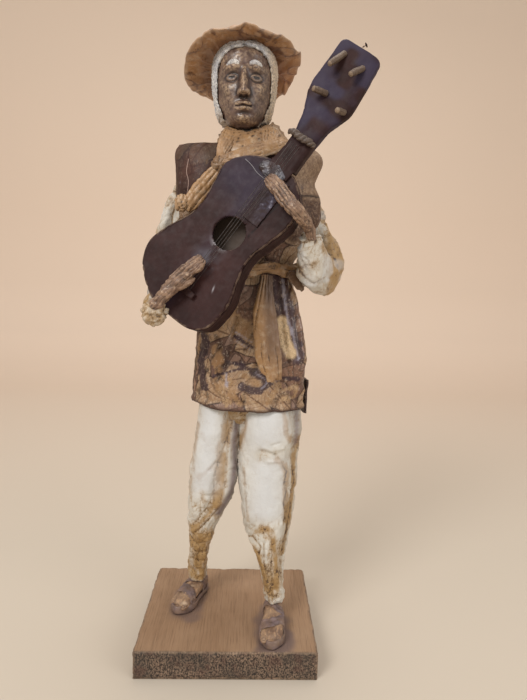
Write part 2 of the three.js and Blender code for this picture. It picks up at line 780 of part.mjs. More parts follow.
// Neck and headstock are one piece of wood, with a tongue that lies on the body.
function makeNeck() {
  const sizes = stations([
    // along, middle, half width
    [36, 1, 6.2], [43, 0.8, 6.8], [50, 0.9, 6.4], [GUITAR.nut, 0.8, 6.3], [61, 0.6, 6.9], [67, 0, 8],
    [73, -0.4, 10.4], [78.5, -0.9, 12.6], [84, -1.5, 13], [96, -2.5, 12.3], [GUITAR.headEnd, -3.4, 11.7],
  ]);
  const marks = [36, 43, 50, 56.5, 61, 65, 69, 73, 77, 80, 84, 96];
  const corner = 2.4;
  const edge = marks.map((along) => [along, ...sizes(along)]);
  const [middle, half] = sizes(GUITAR.headEnd);
  const right = edge.map(([along, centre, width]) => new THREE.Vector2(centre + width, along));
  const left = edge.map(([along, centre, width]) => new THREE.Vector2(centre - width, along)).reverse();
  const shape = new THREE.Shape();
  shape.setFromPoints(right);
  shape.lineTo(middle + half, GUITAR.headEnd - corner);
  shape.quadraticCurveTo(middle + half, GUITAR.headEnd, middle + half - corner, GUITAR.headEnd);
  shape.lineTo(middle - half + corner, GUITAR.headEnd);
  shape.quadraticCurveTo(middle - half, GUITAR.headEnd, middle - half, GUITAR.headEnd - corner);
  left.forEach((point) => shape.lineTo(point.x, point.y));
  const bar = weld(new THREE.ExtrudeGeometry(shape, { depth: 1, bevelEnabled: false, curveSegments: 3 }));
  const thickness = stations([
    [36, GUITAR.neckThickness],
    [GUITAR.nut, 5.6],
    [70, GUITAR.headThickness],
    [108, 4.2],
  ]);
  return cut(layer(bar, () => -GUITAR.fretboard, (along) => thickness(along)[0]), guitarBlock());
}

function makeFretboard() {
  const [low, high] = [11, 35.6];
  return block(8.6, high - low, GUITAR.fretboard, 4.6, (high + low) / 2, GAP + GUITAR.fretboard / 2);
}

// A cord wound round the neck at the nut.
function makeNut() {
  const { nut, fretboard } = GUITAR;
  const path = [
    new THREE.Vector3(-6.8, nut - 0.4, fretboard + 0.9),
    new THREE.Vector3(-4, nut + 0.2, fretboard + 2.4),
    new THREE.Vector3(0.6, nut - 0.2, fretboard + 2.5),
    new THREE.Vector3(5, nut + 0.3, fretboard + 2.4),
    new THREE.Vector3(8.6, nut + 0.4, fretboard + 0.9),
  ];
  return limb({
    sides: 7,
    rows: 11,
    path,
    reference: new THREE.Vector3(0, 0, 1),
    section: stations([[0, 1.5, 1.2], [0.2, 2, 1.5], [0.8, 2, 1.5], [1, 1.3, 1.1]]),
    relief: (along, angle) => 0.3 * Math.cos(along * 34 + angle * 2),
  });
}

function makeBridge() {
  return block(12, 3.2, 1.9, 0.6, -35.4, GAP + 0.95);
}

const PEGS = [
  { foot: [-8.9, 101.1], tip: [-9.3, 90.4], reach: 7 },
  { foot: [3.1, 99.7], tip: [2.1, 91.7], reach: 7 },
  { foot: [-3.7, 80.8], tip: [-8.3, 77.2], reach: 7 },
  { foot: [9.2, 77.9], tip: [8.4, 74.6], reach: 8 },
];

// A whittled dowel leaning out of the headstock's face.
function makePeg({ foot, tip, reach }) {
  const start = new THREE.Vector3(foot[0], foot[1], GUITAR.fretboard + 0.1);
  const end = new THREE.Vector3(tip[0], tip[1], reach);
  const lean = new THREE.Vector3().subVectors(end, start);
  const peg = new THREE.CylinderGeometry(1.25, 1.4, lean.length(), 8, 1);
  const upwards = new THREE.Vector3(0, 1, 0);
  peg.applyQuaternion(new THREE.Quaternion().setFromUnitVectors(upwards, lean.clone().normalize()));
  peg.translate((start.x + end.x) / 2, (start.y + end.y) / 2, (start.z + end.z) / 2);
  const head = block(60, 130, 20, 0, 60, GUITAR.fretboard + GAP - 10);
  return cut(weld(peg), head);
}

function makeNail() {
  const pin = new THREE.CylinderGeometry(0.65, 0.65, 3.6, 8);
  return weld(pin.rotateZ(radians(-24)).translate(-4.9, GUITAR.headEnd + GAP + 2.2, -2));
}

// Each string runs straight from the bridge to the nut, clear of the soundhole's rim.
function makeString(index) {
  const start = new THREE.Vector3(-1.2 + 1.4 * index, -33.4, GUITAR.stringLift);
  const end = new THREE.Vector3(-2.4 + 1.7 * index, GUITAR.nut - 3.6, GUITAR.stringLift + 0.5);
  const route = new THREE.LineCurve3(start, end);
  const section = new THREE.Shape().absarc(0, 0, 0.24, 0, 2 * Math.PI);
  return weld(new THREE.ExtrudeGeometry(section, { extrudePath: route, steps: 1, curveSegments: 3 }));
}

function addGuitar() {
  const guitar = new THREE.Group();
  guitar.applyMatrix4(GUITAR_FRAME);
  add('guitar_top', makeGuitarTop(), COLOURS.lacquer, 0.38, guitar);
  add('guitar_sides', makeGuitarSides(), COLOURS.lacquer, 0.4, guitar);
  add('guitar_back', makeGuitarBack(), COLOURS.lacquer, 0.45, guitar);
  add('guitar_neck', makeNeck(), COLOURS.lacquer, 0.4, guitar);
  add('fretboard', makeFretboard(), COLOURS.leather, 0.4, guitar);
  add('string_nut', makeNut(), COLOURS.lacquer, 0.6, guitar);
  add('bridge', makeBridge(), COLOURS.lacquer, 0.5, guitar);
  PEGS.forEach((peg, i) => add(`tuning_peg_${i + 1}`, makePeg(peg), COLOURS.peg, 0.7, guitar));
  add('nail', makeNail(), COLOURS.iron, 0.6, guitar);
  for (let i = 0; i < 4; i += 1) {
    add(`string_${i + 1}`, makeString(i), COLOURS.gut, 0.6, guitar);
  }
  group.add(guitar);
}

// ---------------------------------------------------------------- arms and hands

// Fingers lie side by side, so grooves run down the far half of the hand.
function fingers(along, angle, from) {
  const back = 0.5 - 0.5 * Math.cos(angle);
  const reach = THREE.MathUtils.smoothstep(along, from, from + 0.15);
  return 0.5 * reach * back * Math.cos(Math.sin(angle) * Math.PI * 4);
}

function makeRightHand() {
  return limb({
    sides: 12,
    rows: 10,
    path: [
      onGuitar(-5, -54, 5),
      onGuitar(-4.6, -46, 6),
      onGuitar(-3, -32, 6.4),
      onGuitar(-0.4, -17.4, 5.4),
    ],
    reference: OUTWARD,
    section: stations([
      [0, 3.6, 2.4], [0.2, 3.6, 2.3], [0.5, 4.3, 2.3], [0.85, 4.3, 2.1], [0.96, 3.2, 1.6], [1, 1.8, 1],
    ]),
    relief: (along, angle) => fingers(along, angle, 0.5),
  });
}

function makeLeftHand() {
  const palm = limb({
    sides: 12,
    rows: 10,
    path: [
      new THREE.Vector3(39.4, -36.5, 231.5),
      new THREE.Vector3(36.6, -41.6, 239),
      onGuitar(23.6, 27, 7),
      onGuitar(12.6, 29.4, 6.8),
      onGuitar(4.6, 32.4, 5.8),
    ],
    reference: OUTWARD,
    section: stations([
      [0, 3.6, 2.4], [0.25, 4, 2.3], [0.55, 4.6, 2.2], [0.85, 4, 2], [0.96, 3, 1.6], [1, 1.8, 1],
    ]),
    relief: (along, angle) => fingers(along, angle, 0.45),
  });
  const finger = limb({
    sides: 6,
    rows: 6,
    path: [
      onGuitar(18.6, 24, 6.6),
      onGuitar(10.6, 24.2, 6.6),
      onGuitar(4.8, 26.4, 6.4),
      onGuitar(1.6, 29.6, 5.8),
    ],
    reference: OUTWARD,
    section: stations([[0, 1.7, 1.5], [0.9, 1.8, 1.6], [1, 1.1, 1]]),
  });
  return join(palm, finger);
}

function sleeveRelief(along, angle, centre) {
  return 0.9 * crumple(centre.x + angle * 6, centre.y, centre.z + along * 12, 4.2)
    + 0.6 * Math.cos(angle * 5 + along * 9);
}

// The right sleeve drops from the vest, passes behind the guitar and comes round its
// edge, where it ends in a rolled cuff.
function makeRightSleeve() {
  const arm = limb({
    sides: 11,
    rows: 13,
    path: [
      new THREE.Vector3(-27, 1, 268),
      new THREE.Vector3(-33.2, 1, 256),
      new THREE.Vector3(-36.6, 1, 242),
      new THREE.Vector3(-39, 0, 226),
      new THREE.Vector3(-41.6, -6, 209),
      new THREE.Vector3(-42.4, -18, 199.6),
      new THREE.Vector3(-40.6, -30, 197.2),
      new THREE.Vector3(-38.6, -38, 196.4),
    ],
    reference: new THREE.Vector3(1, 0.2, 0),
    section: stations([
      [0, 5, 5], [0.2, 6.6, 6.4], [0.5, 7.6, 7], [0.75, 6.4, 6], [0.9, 5.2, 5], [1, 4.8, 4.8],
    ]),
    relief: (along, angle, centre) => 0.7 * sleeveRelief(along, angle, centre),
  });
  const cuff = lump(new THREE.Vector3(-38.3, -41.5, 196.2), new THREE.Vector3(6, 4.8, 6), 0.1);
  return join(arm, cuff);
}

// The left sleeve hangs full at the bent elbow and closes round the wrist.
function makeLeftSleeve() {
  const arm = limb({
    sides: 12,
    rows: 13,
    path: [
      new THREE.Vector3(38, 2, 268),
      new THREE.Vector3(42.6, 2, 254),
      new THREE.Vector3(45.6, 0, 240),
      new THREE.Vector3(51.2, -4, 224.6),
      new THREE.Vector3(47.8, -12, 218.2),
      new THREE.Vector3(42.6, -22, 221),
      new THREE.Vector3(39.4, -31, 228.6),
      new THREE.Vector3(38.2, -36.5, 236.4),
    ],
    reference: new THREE.Vector3(-0.8, 0.5, 0.1),
    section: stations([
      [0, 5, 5], [0.25, 5.8, 6.6], [0.42, 7.6, 8.6], [0.58, 9.4, 9.4], [0.78, 8.4, 8], [1, 5.4, 5],
    ]),
    relief: sleeveRelief,
  });
  return arm;
}

// ---------------------------------------------------------------- assembly

add('base', makeBase(), COLOURS.wood, 0.85);

FEET.forEach(({ name, heel, toe }) => {
  const reach = new THREE.Vector2(toe[0] - heel[0], toe[1] - heel[1]);
  const bearing = Math.atan2(reach.x, -reach.y);
  const foot = makeFoot(reach.length());
  const sandal = makeSandal(foot, reach.length());
  [foot, sandal].forEach((piece) => piece.rotateZ(bearing).translate(heel[0], heel[1], 0));
  add(`foot_${name}`, foot, COLOURS.feet, 0.6);
  add(`sandal_${name}`, sandal, COLOURS.leather, 0.5);
});

const hairRoom = makeHairMass({ sides: 16, rows: 8, top: HAIR_HEIGHT + 1.2, relief: () => 1.8 });
const tunic = makeTunic();
const sash = makeSash();
const rightHand = makeRightHand();
const leftHand = makeLeftHand();
const guitarRoom = guitarBlock().applyMatrix4(GUITAR_FRAME);
const rightSleeve = cut(makeRightSleeve(), swollen(tunic), swollen(rightHand), guitarRoom);
const leftSleeve = cut(makeLeftSleeve(), swollen(tunic), swollen(leftHand), swollen(sash), guitarRoom);

add('trousers', makeTrousers(), COLOURS.cream, 0.7);
add('tunic', tunic, COLOURS.print, 0.45);
add('sash', sash, COLOURS.straw, 0.6);
add('scarf', makeScarf(), COLOURS.straw, 0.6);
add('head', makeHead(), COLOURS.skin, 0.4);
add('hair', makeHair(), COLOURS.wool, 0.9);
add('hat', makeHat(hairRoom), COLOURS.straw, 0.65);
add('sleeve_right', rightSleeve, COLOURS.cream, 0.7);
add('sleeve_left', leftSleeve, COLOURS.cream, 0.7);
add('hand_right', rightHand, COLOURS.hands, 0.6);
add('hand_left', leftHand, COLOURS.hands, 0.6);
addGuitar();

export default group;
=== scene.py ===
# Papier-mache figure of an old guitar player, standing on a sawn block of wood.
# Shapes are worked out in millimetres in the frame of the CAD and written in metres.
# +Z is up, the figure faces -Y, and its own left side is +X.

import bpy
import numpy as np
from mathutils import Matrix, Vector


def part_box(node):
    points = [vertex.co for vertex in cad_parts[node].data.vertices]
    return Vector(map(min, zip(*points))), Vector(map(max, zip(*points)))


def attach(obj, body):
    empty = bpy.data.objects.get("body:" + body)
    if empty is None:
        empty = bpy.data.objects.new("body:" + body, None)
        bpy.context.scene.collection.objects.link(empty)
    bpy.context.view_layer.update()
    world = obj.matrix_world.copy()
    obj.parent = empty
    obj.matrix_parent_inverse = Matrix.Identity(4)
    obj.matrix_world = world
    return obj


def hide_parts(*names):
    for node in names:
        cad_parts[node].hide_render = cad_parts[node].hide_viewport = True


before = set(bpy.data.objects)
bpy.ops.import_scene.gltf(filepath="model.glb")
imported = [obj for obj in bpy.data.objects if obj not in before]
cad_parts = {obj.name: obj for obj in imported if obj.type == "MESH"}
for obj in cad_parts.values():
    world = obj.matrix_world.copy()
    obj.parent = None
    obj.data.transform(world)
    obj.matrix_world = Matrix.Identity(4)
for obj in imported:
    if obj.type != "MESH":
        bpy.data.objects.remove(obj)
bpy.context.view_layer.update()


# ------------------------------------------------------------------ block of wood
# The stand is an offcut of brown-stained softwood. Its grain runs from front to back,
# so the front face is rough end grain. The edges are worn and a little lighter.

def noise(points, size, seed=0):
    """A smooth random field over points, about -1 to 1, with bumps of the given size."""
    spot = np.asarray(points, float) / size
    low = np.floor(spot).astype(np.int64)
    part = spot - low
    fade = part ** 3 * (part * (part * 6 - 15) + 10)
    total = 0.0
    for corner in np.ndindex(2, 2, 2):
        grid = low + np.array(corner)
        mixed = grid[..., 0] * 73856093 ^ grid[..., 1] * 19349663 ^ grid[..., 2] * 83492791
        mixed = (mixed + seed * 2654435) & 0x7FFFFFFF
        mixed = ((mixed ^ (mixed >> 15)) * 2246822519) & 0x7FFFFFFF
        mixed = ((mixed ^ (mixed >> 13)) * 3266489917) & 0x7FFFFFFF
        value = ((mixed >> 8) & 0xFFFF) / 32767.5 - 1
        total = total + value * np.prod(np.where(np.array(corner) == 1, fade, 1 - fade), axis=-1)
    return total


def unit(value):
    return np.clip(value, 0, 1)


def ease(value, low, high):
    """0 below low, 1 above high, and smooth between them. It also works downwards."""
    part = unit((value - low) / (high - low))
    return part * part * (3 - 2 * part)


def patchy(points, size, seed, low, high):
    """Noise as soft-edged patches from 0 to 1."""
    return ease(noise(points, size, seed), low, high)


def rounded_block(low, high, radius, step):
    """Points and faces of a block with rounded edges."""
    low, high = np.array(low, float), np.array(high, float)
    lines = []
    for start, end in zip(low, high):
        edge = radius * np.array([0, 0.2, 0.45, 0.72, 1])
        inner = np.linspace(start + radius, end - radius, max(2, round((end - start) / step)))[1:-1]
        lines.append(np.concatenate([start + edge, inner, (end - edge)[::-1]]))
    points, faces, count = [], [], 0
    for axis in range(3):
        u, v = (axis + 1) % 3, (axis + 2) % 3
        for side, value in ((-1, low[axis]), (1, high[axis])):
            across, along = np.meshgrid(lines[u], lines[v], indexing="ij")
            face = np.empty(across.shape + (3,))
            face[..., axis], face[..., u], face[..., v] = value, across, along
            index = np.arange(across.size).reshape(across.shape) + count
            quads = [index[:-1, :-1], index[1:, :-1], index[1:, 1:], index[:-1, 1:]]
            quads = np.stack(quads, -1).reshape(-1, 4)
            faces.append(quads if side > 0 else quads[:, ::-1])
            points.append(face.reshape(-1, 3))
            count += across.size
    points = np.concatenate(points)
    core = np.clip(points, low + radius, high - radius)
    out = points - core
    points = core + out * radius / np.maximum(np.linalg.norm(out, axis=1, keepdims=True), 1e-9)
    points, where = np.unique(np.round(points, 4), axis=0, return_inverse=True)
    return points, [where.ravel()[np.concatenate(faces)]]


def gather(*skins):
    """Several skins as one: their points, their faces and the marks on their points."""
    points, faces, marks, count = [], [], {}, 0
    names = {name for _, _, own in skins for name in own}
    for own_points, own_faces, own_marks in skins:
        points.append(own_points)
        faces.extend(group + count for group in own_faces)
        for name in names:
            marks.setdefault(name, []).append(own_marks.get(name, np.zeros(len(own_points))))
        count += len(own_points)
    return np.vstack(points), faces, {name: np.concatenate(values) for name, values in marks.items()}


def write_mesh(name, points, faces, marks):
    """One object from points in millimetres. Marks are numbers on each point."""
    mesh = bpy.data.meshes.new(name)
    mesh.from_pydata((points / 1000).tolist(), [], [face for group in faces for face in group.tolist()])
    for mark, values in marks.items():
        layer = mesh.attributes.new(mark, "FLOAT", "POINT")
        layer.data.foreach_set("value", np.asarray(values, np.float32).ravel())
    mesh.validate()
    mesh.shade_smooth()
    piece = bpy.data.objects.new(name, mesh)
    bpy.context.scene.collection.objects.link(piece)
    return piece


def build(name, paint, slot, node, *skins):
    """One piece from its skins, with its finish, set on the figure in place of its CAD node."""
    piece = write_mesh(name, *gather(*skins))
    piece.data.materials.append(paint.material)
    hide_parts(node)
    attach(piece, "root")


def tint(code):
    """A colour from its six-digit code, as the shader needs it."""
    parts = [int(code[i:i + 2], 16) / 255 for i in (0, 2, 4)]
    return tuple(p / 12.92 if p < 0.04045 else ((p + 0.055) / 1.055) ** 2.4 for p in parts) + (1.0,)


class Nodes:
    """A tree of shader nodes at a place on the piece, and the colour laid down so far."""

    def __init__(self, tree, place=None):
        self.tree, self.place, self.colour = tree, place, None

    def join(self, made, links):
        """Sets or links the inputs of a node, and returns its outputs."""
        for key, value in links.items():
            if isinstance(value, bpy.types.NodeSocket):
                self.tree.links.new(value, made.inputs[key])
            else:
                made.inputs[key].default_value = value
        return made.outputs

    def add(self, kind, links, out=0, **settings):
        made = self.tree.nodes.new("ShaderNode" + kind)
        for name, value in settings.items():
            setattr(made, name, value)
        return self.join(made, links)[out]

    def use(self, effect, **links):
        """Places a shader node group, by default at the same place."""
        made = self.tree.nodes.new("ShaderNodeGroup")
        made.node_tree = effect.tree
        if "Position" in made.inputs:
            links.setdefault("Position", self.place)
        return self.join(made, links)

    def calc(self, operation, first, second=0.0, clamp=False):
        return self.add("Math", {0: first, 1: second}, operation=operation, use_clamp=clamp)

    def plus(self, first, second, clamp=False):
        return self.calc("ADD", first, second, clamp)

    def minus(self, first, second, clamp=False):
        return self.calc("SUBTRACT", first, second, clamp)

    def times(self, first, second):
        return self.calc("MULTIPLY", first, second)

    def span(self, value, low, high, to_low=0.0, to_high=1.0):
        """Stretches a value so that low to high becomes to_low to to_high, clamped."""
        return self.add("MapRange", {"Value": value, 1: low, 2: high, 3: to_low, 4: to_high}, clamp=True)

    def grain(self, scale, detail=4.0, stretch=(1, 1, 1), offset=0.0, rough=0.55):
        """Noise with a scale in bumps per metre, drawn out along an axis by the stretch."""
        moved = self.add("Mapping", {0: self.place, 1: (offset, offset, offset), 3: stretch})
        return self.add("TexNoise", {"Vector": moved, "Scale": scale, "Detail": detail, "Roughness": rough})

    def mark(self, name):
        """Reads a number that the mesh carries on its points."""
        return self.add("Attribute", {}, 2, attribute_name=name)

    def blend(self, share, first, second):
        """Mixes two colours, each a socket or a six-digit code."""
        first, second = [tint(c) if isinstance(c, str) else c for c in (first, second)]
        return self.add("Mix", {0: share, 6: first, 7: second}, 2, data_type="RGBA", blend_type="MIX")

    def over(self, share, colour, strength=None):
        """Lays a colour over the one so far. The share is a socket or the name of a mark."""
        if isinstance(share, str):
            share = self.mark(share)
        if strength is not None:
            share = self.times(share, strength)
        self.colour = self.blend(share, self.colour, colour)

    def give(self, **values):
        """Links the outputs of a shader node group."""
        for label, value in values.items():
            self.tree.links.new(value, self.result[label])


def new_effect(name, inputs, outputs):
    """An empty shader node group. Each input is a number, or else its kind of socket."""
    tree = bpy.data.node_groups.new(name, "ShaderNodeTree")
    for label, value in inputs.items():
        kind = value if isinstance(value, str) else "Float"
        made = tree.interface.new_socket(label, in_out="INPUT", socket_type="NodeSocket" + kind)
        if kind == "Float":
            made.default_value = value
    for label in outputs:
        kind = "Color" if label == "Color" else "Float"
        tree.interface.new_socket(label, in_out="OUTPUT", socket_type="NodeSocket" + kind)
    effect = Nodes(tree)
    effect.source = tree.nodes.new("NodeGroupInput").outputs
    effect.result = tree.nodes.new("NodeGroupOutput").inputs
    effect.place = effect.source.get("Position")
    return effect


class Finish(Nodes):
    """A material with one Principled shader."""

    def __init__(self, name):
        self.material = bpy.data.materials.new(name)
        self.material.use_nodes = True
        tree = self.material.node_tree
        super().__init__(tree, tree.nodes.new("ShaderNodeTexCoord").outputs["Object"])
        self.shader = tree.nodes["Principled BSDF"]

    def finish(self, relief=None, **inputs):
        """Sets the shader's inputs. Relief is a height, its millimetres and its strength."""
        self.join(self.shader, {"Base Color": self.colour})
        self.join(self.shader, {name.replace("_", " "): value for name, value in inputs.items()})
        if relief:
            height, distance, strength = relief
            links = {"Height": height, "Distance": distance / 1000, "Strength": strength}
            self.join(self.shader, {"Normal": self.add("Bump", links)})


# Long fibres along Y with darker lines between them.
effect = wood_grain = new_effect("wood grain", {"Position": "Vector", "Fineness": 900.0}, ["Tone", "Height"])
fibre = effect.grain(effect.source["Fineness"], 5.0, (1, 0.05, 1))
band = effect.grain(110.0, 2.0, (1, 0.12, 1), 3.0)
tone = effect.plus(effect.times(fibre, 0.6), effect.times(band, 0.4))
effect.give(Tone=effect.span(tone, 0.3, 0.7), Height=fibre)

# An edge mark broken up by noise, so that wear comes and goes along the edge.
effect = worn_edge = new_effect("worn edge", {"Edge": 0.0, "Position": "Vector", "Reach": 0.5}, ["Wear"])
patch = effect.grain(260.0, 5.0)
edge = effect.plus(effect.source["Edge"], effect.times(effect.minus(patch, 0.5), 1.3))
limit = effect.minus(1.0, effect.source["Reach"])
effect.give(Wear=effect.span(edge, limit, effect.plus(limit, 0.35)))


def rub_edges(paint, colour, reach, strength):
    """Lets a colour show through where the piece is marked as an edge."""
    worn = paint.use(worn_edge, Edge=paint.mark("edge"), Reach=reach)
    paint.over(worn["Wear"], colour, strength)


paint = sawn_wood = Finish("stained sawn wood")
grain = paint.use(wood_grain, Fineness=1300.0)
cloud = paint.grain(32.0, 3.0)
speck = paint.grain(1100.0, 4.0, (1, 0.3, 0.7), 5.0, 0.75)
paint.colour = paint.blend(paint.span(speck, 0.43, 0.6), "231A17", "947C68")
paint.over(paint.span(paint.grain(60.0, 2.0, offset=7.0), 0.42, 0.6, 0.0, 0.5), "35302B")
paint.over(paint.span(paint.grain(140.0, 3.0, offset=11.0), 0.5, 0.65, 0.0, 0.4), "5B3A30")
rough_ends = paint.colour
paint.colour = paint.blend(grain["Tone"], "896C52", "9A7B5F")
paint.over(paint.span(cloud, 0.4, 0.75, 0.0, 0.6), "A88B70")
paint.over(paint.span(paint.grain(2300.0, 2.0, (1, 0.03, 1), 2.0), 0.52, 0.7, 0.0, 0.4), "5E4632")
paint.over("smear", "6F5C57", paint.span(cloud, 0.3, 0.6, 0.5, 0.9))
ends = paint.calc("MAXIMUM", paint.mark("end_grain"), paint.times(paint.mark("side"), 0.7))
paint.over(ends, rough_ends)
rub_edges(paint, "A88D72", 0.34, 0.45)
height = paint.plus(grain["Height"], paint.times(paint.times(speck, ends), 2.0))
paint.finish((height, 0.25, 0.8), Roughness=paint.span(grain["Tone"], 0.0, 1.0, 0.82, 0.6))

block_low, block_high = [np.array(corner) * 1000 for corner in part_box("base")]
points, faces = rounded_block(block_low, block_high, 0.9, 1.15)
middle = (block_low + block_high) / 2
inside = (block_high - block_low) / 2 - np.abs(points - middle)
end_grain = ease(inside[:, 1], 1.2, 0.3)
long_side = ease(inside[:, 0], 1.2, 0.3)
edge = unit(1 - np.sort(inside, axis=1)[:, 1] / 3.0)
rough = 0.35 * noise(points * (1, 0.4, 1), 1.1, 3) + 0.2 * noise(points * (1, 1, 3), 2.6, 5)
saw = 0.12 * noise(points * (1, 0.06, 1), 0.9, 8) + 0.1 * noise(points * (1, 0.1, 1), 3.4, 9)
bites = ease(edge, 0.35, 1.0) * (patchy(points, 5.0, 4, -0.2, 0.8) + 0.5 * patchy(points, 1.7, 14, 0.0, 0.7))
inward = np.sign(middle - points) * (inside < 1.0)
depth = end_grain * (0.3 + rough) + (1 - end_grain) * (0.15 + saw) + 0.8 * bites
above_table = points[:, 2] > block_low[2] + 0.4
points = points + inward * (np.clip(depth, 0, 1.2) * above_table)[:, None] * 0.7
near_feet = np.minimum(*[np.linalg.norm((points[:, :2] - centre) / size, axis=1)
                         for centre, size in (((-25, 3), (12, 23)), ((26, -23), (12, 24)))])
smear = ease(near_feet + 0.25 * noise(points, 7.0, 12), 1.15, 0.75) * (points[:, 2] > block_high[2] - 1.5)
marks = {"edge": edge, "end_grain": end_grain, "side": long_side, "smear": smear}
build("wooden_block", sawn_wood, "wood", "base", (points, faces, marks))


# ------------------------------------------------------------------ feet
# Each bare foot is modelled in paper pulp and painted a tan skin colour, then rubbed
# with gold. Five toes stand out from the front of the sandal.

def stations(rows):
    """A smooth function through rows of [key, value, value, ...]."""
    table = np.array(rows, float)
    keys, values = table[:, 0], table[:, 1:]
    secant = np.diff(values, axis=0) / np.diff(keys)[:, None]
    slope = np.vstack([secant[:1] * 0, (secant[:-1] + secant[1:]) / 2, secant[:1] * 0])

    def at(key):
        key = np.clip(np.asarray(key, float), keys[0], keys[-1])
        i = np.clip(np.searchsorted(keys, key, side="right") - 1, 0, len(keys) - 2)
        gap = keys[i + 1] - keys[i]
        t = ((key - keys[i]) / gap)[..., None]
        gap = gap[..., None]
        return np.moveaxis(curve(values[i], values[i + 1], slope[i] * gap, slope[i + 1] * gap, t), -1, 0)

    return at


def curve(start, end, leave, arrive, t):
    """A smooth line from start to end that leaves and arrives in the given directions."""
    return (start * (2 * t ** 3 - 3 * t ** 2 + 1) + leave * (t ** 3 - 2 * t ** 2 + t)
            + (end * (3 * t ** 2 - 2 * t ** 3) + arrive * (t ** 3 - t ** 2)))


def outline(angle, power):
    """A unit outline between an ellipse (power 2) and a rectangle. Angle 0 is the front."""
    across, ahead = np.sin(angle), np.cos(angle)
    reach = (np.abs(across) ** power + np.abs(ahead) ** power) ** (-1 / power)
    return across * reach, -ahead * reach


def crowd_ends(rise):
    return rise - 0.09 * np.sin(2 * np.pi * rise)


def laps(count):
    """Angles once round, as one row."""
    return np.linspace(0, 2 * np.pi, count, endpoint=False)[None, :]


def bump(distance, width):
    return np.exp(-((distance / width) ** 2))


def shell(grid, marks=None, wrap=False):
    """A closed skin over rings of points, one ring in each row of the grid. With wrap
    the last ring meets the first. Without it each end is closed."""
    rows, sides = grid.shape[:2]
    index = np.arange(rows * sides).reshape(rows, sides)
    if wrap:
        index = np.vstack([index, index[:1]])
    near, far = index[:-1], index[1:]
    quads = np.stack([near, np.roll(near, -1, 1), np.roll(far, -1, 1), far], -1).reshape(-1, 4)
    points, faces = grid.reshape(-1, 3), [quads]
    marks = {k: np.broadcast_to(v, (rows, sides)) for k, v in (marks or {}).items()}
    if wrap:
        return points, faces, {k: v.ravel() for k, v in marks.items()}
    foot, top = rows * sides, rows * sides + 1
    points = np.vstack([points, grid[[0, -1]].mean(1)])
    faces.append(np.stack([np.roll(index[0], -1), index[0], np.full(sides, foot)], -1))
    faces.append(np.stack([index[-1], np.roll(index[-1], -1), np.full(sides, top)], -1))
    return points, faces, {k: np.concatenate([v.ravel(), v[[0, -1]].mean(1)]) for k, v in marks.items()}


def turn(points, bearing, place):
    """Turns points about the upright axis and moves them."""
    x, y, z = np.moveaxis(points, -1, 0)
    c, s = np.cos(bearing), np.sin(bearing)
    return np.stack([x * c - y * s + place[0], x * s + y * c + place[1], z + place[2]], -1)


def push(grid, amount, wrap=False):
    """Moves a grid of rings outwards, square to its surface."""
    around = np.roll(grid, -1, 1) - np.roll(grid, 1, 1)
    along = np.roll(grid, -1, 0) - np.roll(grid, 1, 0) if wrap else np.gradient(grid, axis=0)
    out = np.cross(around, along)
    return grid + out / np.maximum(np.linalg.norm(out, axis=-1, keepdims=True), 1e-9) * amount[..., None]


def ball(centre, radii, rows, sides):
    """Rings over an egg-shaped lump."""
    rise = np.linspace(0.03, np.pi - 0.03, rows)[:, None]
    angle = laps(sides)
    unit_ball = np.stack([np.sin(rise) * np.sin(angle), -np.sin(rise) * np.cos(angle),
                          -np.cos(rise) * np.ones_like(angle)], -1)
    return np.array(centre) + unit_ball * np.array(radii)


SOLE_TOP = 18.5
FOOT_FLOOR = 18.8
ANKLE = 28.0
feet = [("right", (-17, 20.5), (-31, -10.5), 1), ("left", (27.4, -5.2), (24.3, -41), -1)]


def foot_line(heel, toe):
    """Length and bearing of a foot."""
    reach = np.array(toe, float) - heel
    return np.hypot(*reach), np.arctan2(reach[0], -reach[1])


def foot_skin(length, distance, angle, out=0.0):
    """A point on the foot with its heel at the origin, pointing along -Y. Angle 0 is below."""
    top = ANKLE - 0.3 - FOOT_FLOOR
    sizes = stations([[0, 2.6, 4.5], [2.5, 4.3, top], [9, 5.1, top], [14.5, 5.3, top - 1.2], [20, 5.9, 6.2],
                      [26, 6.2, 4.8], [31, 5.8, 3.9], [length, 3.2, 2]])
    width, top = sizes(distance)
    across, down = outline(angle, 2.5)
    height = FOOT_FLOOR + top / 2 + down * (top / 2 + out)
    return np.stack([across * (width + out), -distance * np.ones_like(across), height], -1)


paint = tan_skin = Finish("painted skin rubbed with gold")
cloud = paint.grain(160.0, 4.0)
paint.colour = paint.blend(paint.span(cloud, 0.35, 0.65), "6C5242", "9C8067")
streak = paint.grain(700.0, 3.0, (1, 0.5, 1), 2.0)
paint.over(paint.span(streak, 0.5, 0.72, 0.0, 0.75), "C29C78")
paint.over("groove", "3F2C26")
paint.over("heel", "6E5D60")
paint.over(paint.span(paint.grain(90.0, 2.0, offset=8.0), 0.66, 0.74, 0.0, 0.5), "D9C0A4")
paint.finish((streak, 0.25, 0.7), Roughness=paint.span(cloud, 0.3, 0.7, 0.42, 0.68), Coat_Weight=0.12)

